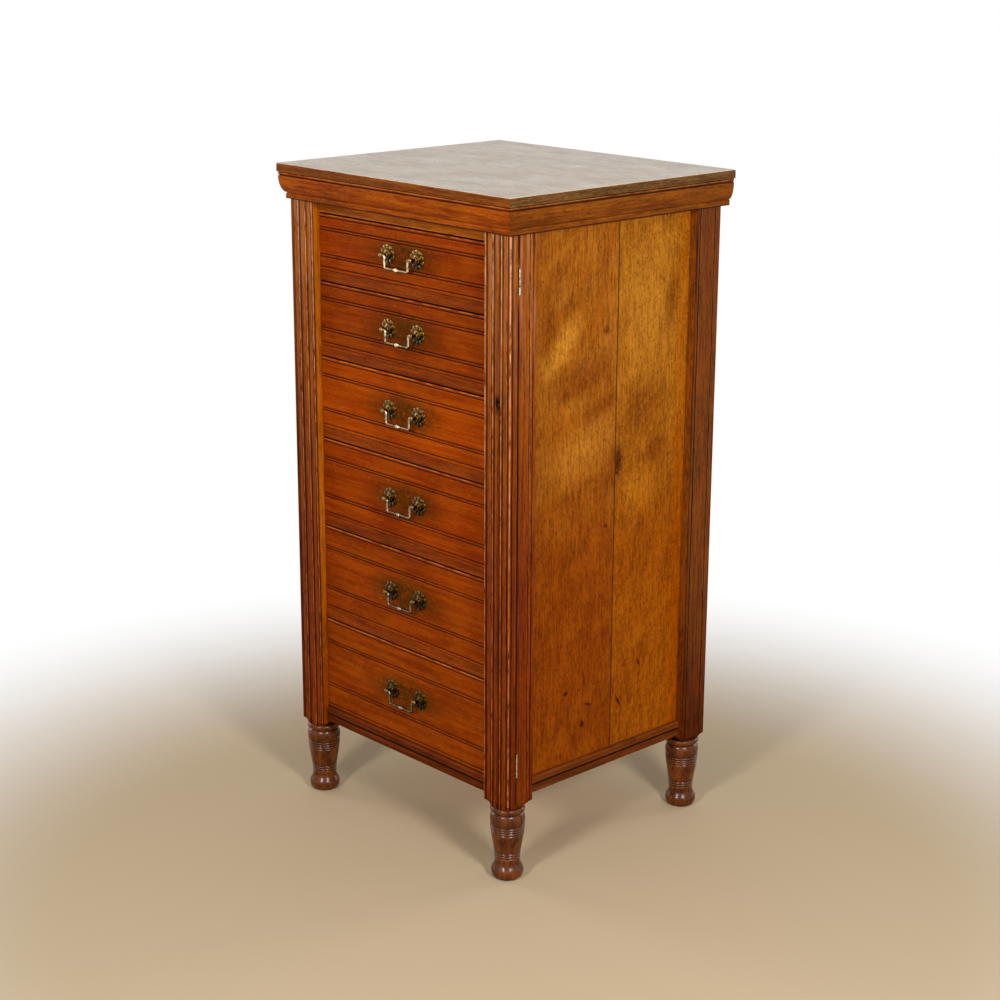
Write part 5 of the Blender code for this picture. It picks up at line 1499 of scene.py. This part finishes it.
def bail_path():
    """The bail's wire from one pin to the other, as (across, up, radius)."""
    corner = BAIL_CORNER
    bends = arc((BAIL_ARM + corner, -corner), (corner, corner), 90, 90, 8)
    bends += arc((BAIL_ARM - corner, corner - BAIL_DROP), (corner, corner), 0, -90, 8)
    half = toned([(BAIL_PIN_END, 0), *bends], BAIL_RADIUS)
    half.append((BAIL_ARM - 3 * corner, -BAIL_DROP, BAR_RADIUS))
    half += [(across * MM, -BAIL_DROP, share * BAR_RADIUS) for across, share in KNOP_RINGS]
    for across, radius in arc((0, 0), (KNOP_HALF, KNOP_RADIUS), 20, 70, 6):
        half.append((across, -BAIL_DROP, max(BAR_RADIUS, radius)))
    return half + [(-across, up, radius) for across, up, radius in reversed(half[:-1])]


def bail_mesh():
    """The bail: round wire with a turned knop in the middle of its bar, brightest where it is handled and
    where its highlight is painted, with painted shade behind.
    """
    path = bail_path()
    rings = []
    for index, (across, up, radius) in enumerate(path):
        before = path[max(index - 1, 0)]
        after = path[min(index + 1, len(path) - 1)]
        along = Vector((after[0] - before[0], 0, after[1] - before[1])).normalized()
        outward = Vector((-along.z, 0, along.x))
        # A painted highlight on the knop, and painted shade along the bar
        wear = 0.6 if abs(across) < KNOP_HALF + 0.1 * MM else -0.5 * abs(along.x)
        ring = []
        for step in range(BAIL_STEPS):
            angle = math.tau * step / BAIL_STEPS
            facing = math.cos(angle) * outward + math.sin(angle) * Vector((0, 1, 0))
            place = Vector((across, 0, up)) + radius * facing
            # A painted highlight on the side that faces up, to the front and to the right, where hands rub it
            # too, and painted shade on the side away
            ring.append((place, 2.4 * facing.dot(BAIL_RUBBED_AND_LIT) - 0.9 + wear))
        rings.append(ring)
    work = bmesh.new()
    loft(work, rings)
    return work


def make_castings():
    """One rose with its bored pommel, and one bail, to copy from."""
    pommel = in_scene("pommel", mesh_of("pommel", pommel_mesh(), [ROSE_BRASS]))
    hole = BAIL_RADIUS + BAIL_PLAY
    bore = bmesh.new()
    rim = arc((-POMMEL_OUT, 0), (hole, hole), 0, 360 - 360 / BORE_STEPS, BORE_STEPS - 1)
    # The walls of the bore take painted shade
    run_outline(bore, toned(rim, -1), [-BORE_HALF, BORE_HALF], "X")
    bmesh.ops.recalc_face_normals(bore, faces=bore.faces)
    cut_with(pommel, bore)
    rose = rose_mesh()
    rose.from_mesh(pommel.data)
    bpy.data.objects.remove(pommel)
    return mesh_of("rose", rose, [ROSE_BRASS]), mesh_of("bail", bail_mesh(), [BRASS])


def outside_board(face):
    """The front board of a side panel is 0, its rear board 1 and the inside 2."""
    middle = face.calc_center_median()
    if abs(face.normal.x) < 0.5 or face.normal.x * middle.x < 0:
        return 2
    return 0 if middle.y < BOARD_JOINT else 1


def make_dust_board(number):
    """A board between two drawers: its polished front strip, and the bare board behind."""
    node = f"dust_board_{number}"
    low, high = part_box(node)
    front = low.y
    back = front + DIVIDER_STRIP
    half = INNER_X - FIT
    # Tones: painted shade under the lip, over the drawer below, and pale arrises, rubbed and with a painted
    # highlight on the upper one
    section = [
        (back, low.z, 0),
        (front + DIVIDER_LIP, low.z, -0.9),
        (front, low.z + ARRIS, 0.3),
        (front, low.z + 2 * DIVIDER_LIP, 0.2),
        (front, high.z - 2 * DIVIDER_LIP, 0.1),
        (front, high.z - DIVIDER_LIP, 0.7),
        (front + ARRIS, high.z, 0.4),
        (back, high.z, 0),
    ]
    work = bmesh.new()
    run_outline(work, section, levels_between(-half, half), "X")
    board = [(back - FIT, low.z), (high.y, low.z), (high.y, high.z - FIT), (back - FIT, high.z - FIT)]
    run_outline(work, toned(board), [-half, half], "X", 1)
    reach = HALF_DEPTH - POST_DEPTH - FIT
    wing_low = low.z + FIT
    wing_high = high.z - 2 * FIT
    wing = [(-reach, wing_low), (reach, wing_low), (reach, wing_high), (-reach, wing_high)]
    for right in (-1, 1):
        levels = sorted((right * (half - CUT_OVER), right * (PANEL_OUTER - PANEL_THICK - FIT)))
        run_outline(work, toned(wing), levels, "X", 1)
    finish_piece(node + "_boards", work, [DIVIDER_OAK, BARE_OAK_X], "carcass", (node,))


def make_frieze():
    """The rail over the top drawer, rubbed along its lower arris, with painted shade on its underside and a
    painted shadow under the cornice.
    """
    node = "frieze_rail"
    low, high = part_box(node)
    back = FACE_Y + FRIEZE_THICK
    seat = CORNICE_BOTTOM + FRIEZE_SEAT
    section = [
        (back, low.z, 0),
        (FACE_Y + DIVIDER_LIP, low.z, -0.9),
        (FACE_Y, low.z + ARRIS, 1.2),
        (FACE_Y, low.z + 2 * MM, 0.9),
        (FACE_Y, low.z + 4 * MM, 0.2),
        (FACE_Y, CORNICE_BOTTOM - 2 * MM, 0),
        (FACE_Y, CORNICE_BOTTOM, -0.8),
        (FACE_Y, seat, -0.8),
        (-HALF_DEPTH, seat, 0),
        (-HALF_DEPTH, high.z, 0),
        (back, high.z, 0),
    ]
    levels = levels_between(FIT - INNER_X, INNER_X - FIT)
    run_piece(node + "_face", section, levels, "X", FRIEZE_OAK, node)


def board_joint(place, reach, before=0.0, after=0.0):
    """An open dark joint between two boards of the tones given, as (along, depth, tone)."""
    return [
        (place + reach, 0, before),
        (place + JOINT_GAP, 0, -0.8),
        (place, JOINT_DEPTH, -1),
        (place - JOINT_GAP, 0, -0.8),
        (place - reach, 0, after),
    ]


def make_panel(name, right):
    """A side panel of two boards, with the joint between them open a little and dark."""
    node = "side_panel_" + name
    low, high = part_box(node)
    inner = PANEL_OUTER - PANEL_THICK
    seen = HALF_DEPTH - POST_DEPTH
    clean = seen - 3 * MM
    # The outer face darkens at its edges beside the posts: painted shade where it meets them
    plan = [(inner, low.y, 0), (inner, high.y, 0), (PANEL_OUTER, high.y, -0.6)]
    plan += [(PANEL_OUTER, seen, -0.6), (PANEL_OUTER, clean, 0)]
    for along, depth, shade in board_joint(BOARD_JOINT, 3 * JOINT_GAP):
        plan.append((PANEL_OUTER - depth, along, shade))
    plan += [(PANEL_OUTER, -clean, 0), (PANEL_OUTER, -seen, -0.6), (PANEL_OUTER, low.y, -0.6)]
    plan = [(right * across, along, shade) for across, along, shade in plan]
    work = bmesh.new()
    run_outline(work, plan, levels_between(low.z, high.z), "Z")
    bmesh.ops.recalc_face_normals(work, faces=work.faces)
    work.normal_update()
    for face in work.faces:
        face.material_index = outside_board(face)
    oaks = [PANEL_OAK, REAR_BOARD_OAK, BARE_OAK_Z]
    finish_piece(node + "_boards", work, oaks, "carcass", (node,))


def make_back():
    """The back: upright boards, each a little lighter or darker, with dark joints between them."""
    node = "back_panel"
    low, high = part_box(node)
    plan = [(low.x, low.y, 0), (high.x, low.y, 0), (high.x, high.y, BACK_TONES[0])]
    for joint, before, after in zip(BACK_JOINTS, BACK_TONES, BACK_TONES[1:]):
        for along, depth, shade in board_joint(joint, 4 * JOINT_GAP, before, after):
            plan.append((along, high.y - depth, shade))
    plan.append((low.x, high.y, BACK_TONES[-1]))
    levels = levels_between(low.z, high.z)
    run_piece(node + "_boards", plan, levels, "Z", BACK_OAK, node)


def make_flat_work():
    """The boards, panels and frieze, and the pieces whose solids have the right form as they are."""
    for number in DUST_BOARDS:
        make_dust_board(number)
    make_frieze()
    for name, right in SIDES:
        make_panel(name, right)
        dressed("side_top_rail_" + name, [BARE_OAK_Y], "carcass")
    make_back()
    dressed("bottom_board", [BARE_OAK_X], "carcass")


def seen_share(tree):
    """1 where the eye or the polish sees a thing, and 0 where it only lights other things."""
    paths = add(tree, "LightPath").outputs
    seen = paths["Is Camera Ray"]
    for kind in ("Is Glossy Ray", "Is Transmission Ray"):
        seen = add(tree, "Math", {0: seen, 1: paths[kind]}, operation="MAXIMUM").outputs[0]
    return seen


def make_floor():
    """A plain pale floor that fades to the white of the room, and keeps the chest's shadow."""
    work = bmesh.new()
    bmesh.ops.create_grid(work, x_segments=1, y_segments=1, size=FLOOR_HALF)
    mesh = bpy.data.meshes.new("floor")
    work.to_mesh(mesh)
    work.free()
    floor = in_scene("floor", mesh)
    material, tree, shader = blank_material("pale floor")
    shader.inputs["Base Color"].default_value = linear("#c8b291")
    shader.inputs["Roughness"].default_value = 0.7
    shader.inputs["Specular IOR Level"].default_value = 0.2
    place = add(tree, "TexCoord").outputs["Object"]
    away = add(tree, "VectorMath", {0: place, 1: FLOOR_MIDDLE}, operation="DISTANCE").outputs["Value"]
    limits = {"Value": away, "From Min": FLOOR_PLAIN, "From Max": FLOOR_FADED}
    fade = add(tree, "MapRange", limits, interpolation_type="SMOOTHSTEP").outputs[0]
    share = add(tree, "Math", {0: fade, 1: seen_share(tree)}, operation="MULTIPLY").outputs[0]
    white = add(tree, "Emission", {"Color": (1, 1, 1, 1), "Strength": 1}).outputs[0]
    mixed = add(tree, "MixShader", {0: share, 1: shader.outputs[0], 2: white}).outputs[0]
    tree.links.new(mixed, tree.nodes["Material Output"].inputs["Surface"])
    mesh.materials.append(material)


def make_room():
    """The white room: white to the eye and in the polish, and a plain soft light on the chest."""
    world = bpy.data.worlds.new("white room")
    world.use_nodes = True
    bpy.context.scene.world = world
    tree = world.node_tree
    level = add(tree, "MapRange", {"Value": seen_share(tree), "To Min": AMBIENT, "To Max": 1}).outputs[0]
    background = tree.nodes["Background"]
    background.inputs["Color"].default_value = (1, 1, 1, 1)
    tree.links.new(level, background.inputs["Strength"])


def add_lamp(name, at, size, power):
    """A square lamp turned to the middle of the chest."""
    lamp = bpy.data.lights.new(name, "AREA")
    lamp.energy = power
    lamp.size = size
    holder = in_scene(name, lamp)
    holder.location = at
    holder.rotation_euler = (LAMP_AIM - Vector(at)).to_track_quat("-Z", "Y").to_euler()


def make_camera():
    """The camera, where the photograph was taken from."""
    camera = bpy.data.cameras.new("camera")
    camera.sensor_width = CAMERA_SENSOR
    camera.lens = CAMERA_LENS
    holder = in_scene("camera", camera)
    holder.location = CAMERA_PLACE
    holder.rotation_euler = [math.radians(angle) for angle in CAMERA_TURN]
    bpy.context.scene.camera = holder


make_top()
make_cornice()
make_post("post_front_left", -1, -1)
make_post("post_front_right", 1, -1)
make_post("post_back_left", -1, 1)
make_post("post_back_right", 1, 1)
make_stile()
for place, centre in zip(("upper", "lower"), hinge_heights()):
    make_hinge(place, centre)
make_lock()
make_rails()
make_flat_work()
ROSE, BAIL = make_castings()
for number in DRAWERS:
    make_drawer(number)
make_floor()
make_room()
for lamp in LAMPS:
    add_lamp(*lamp)
make_camera()
bpy.context.scene.view_settings.view_transform = "Standard"
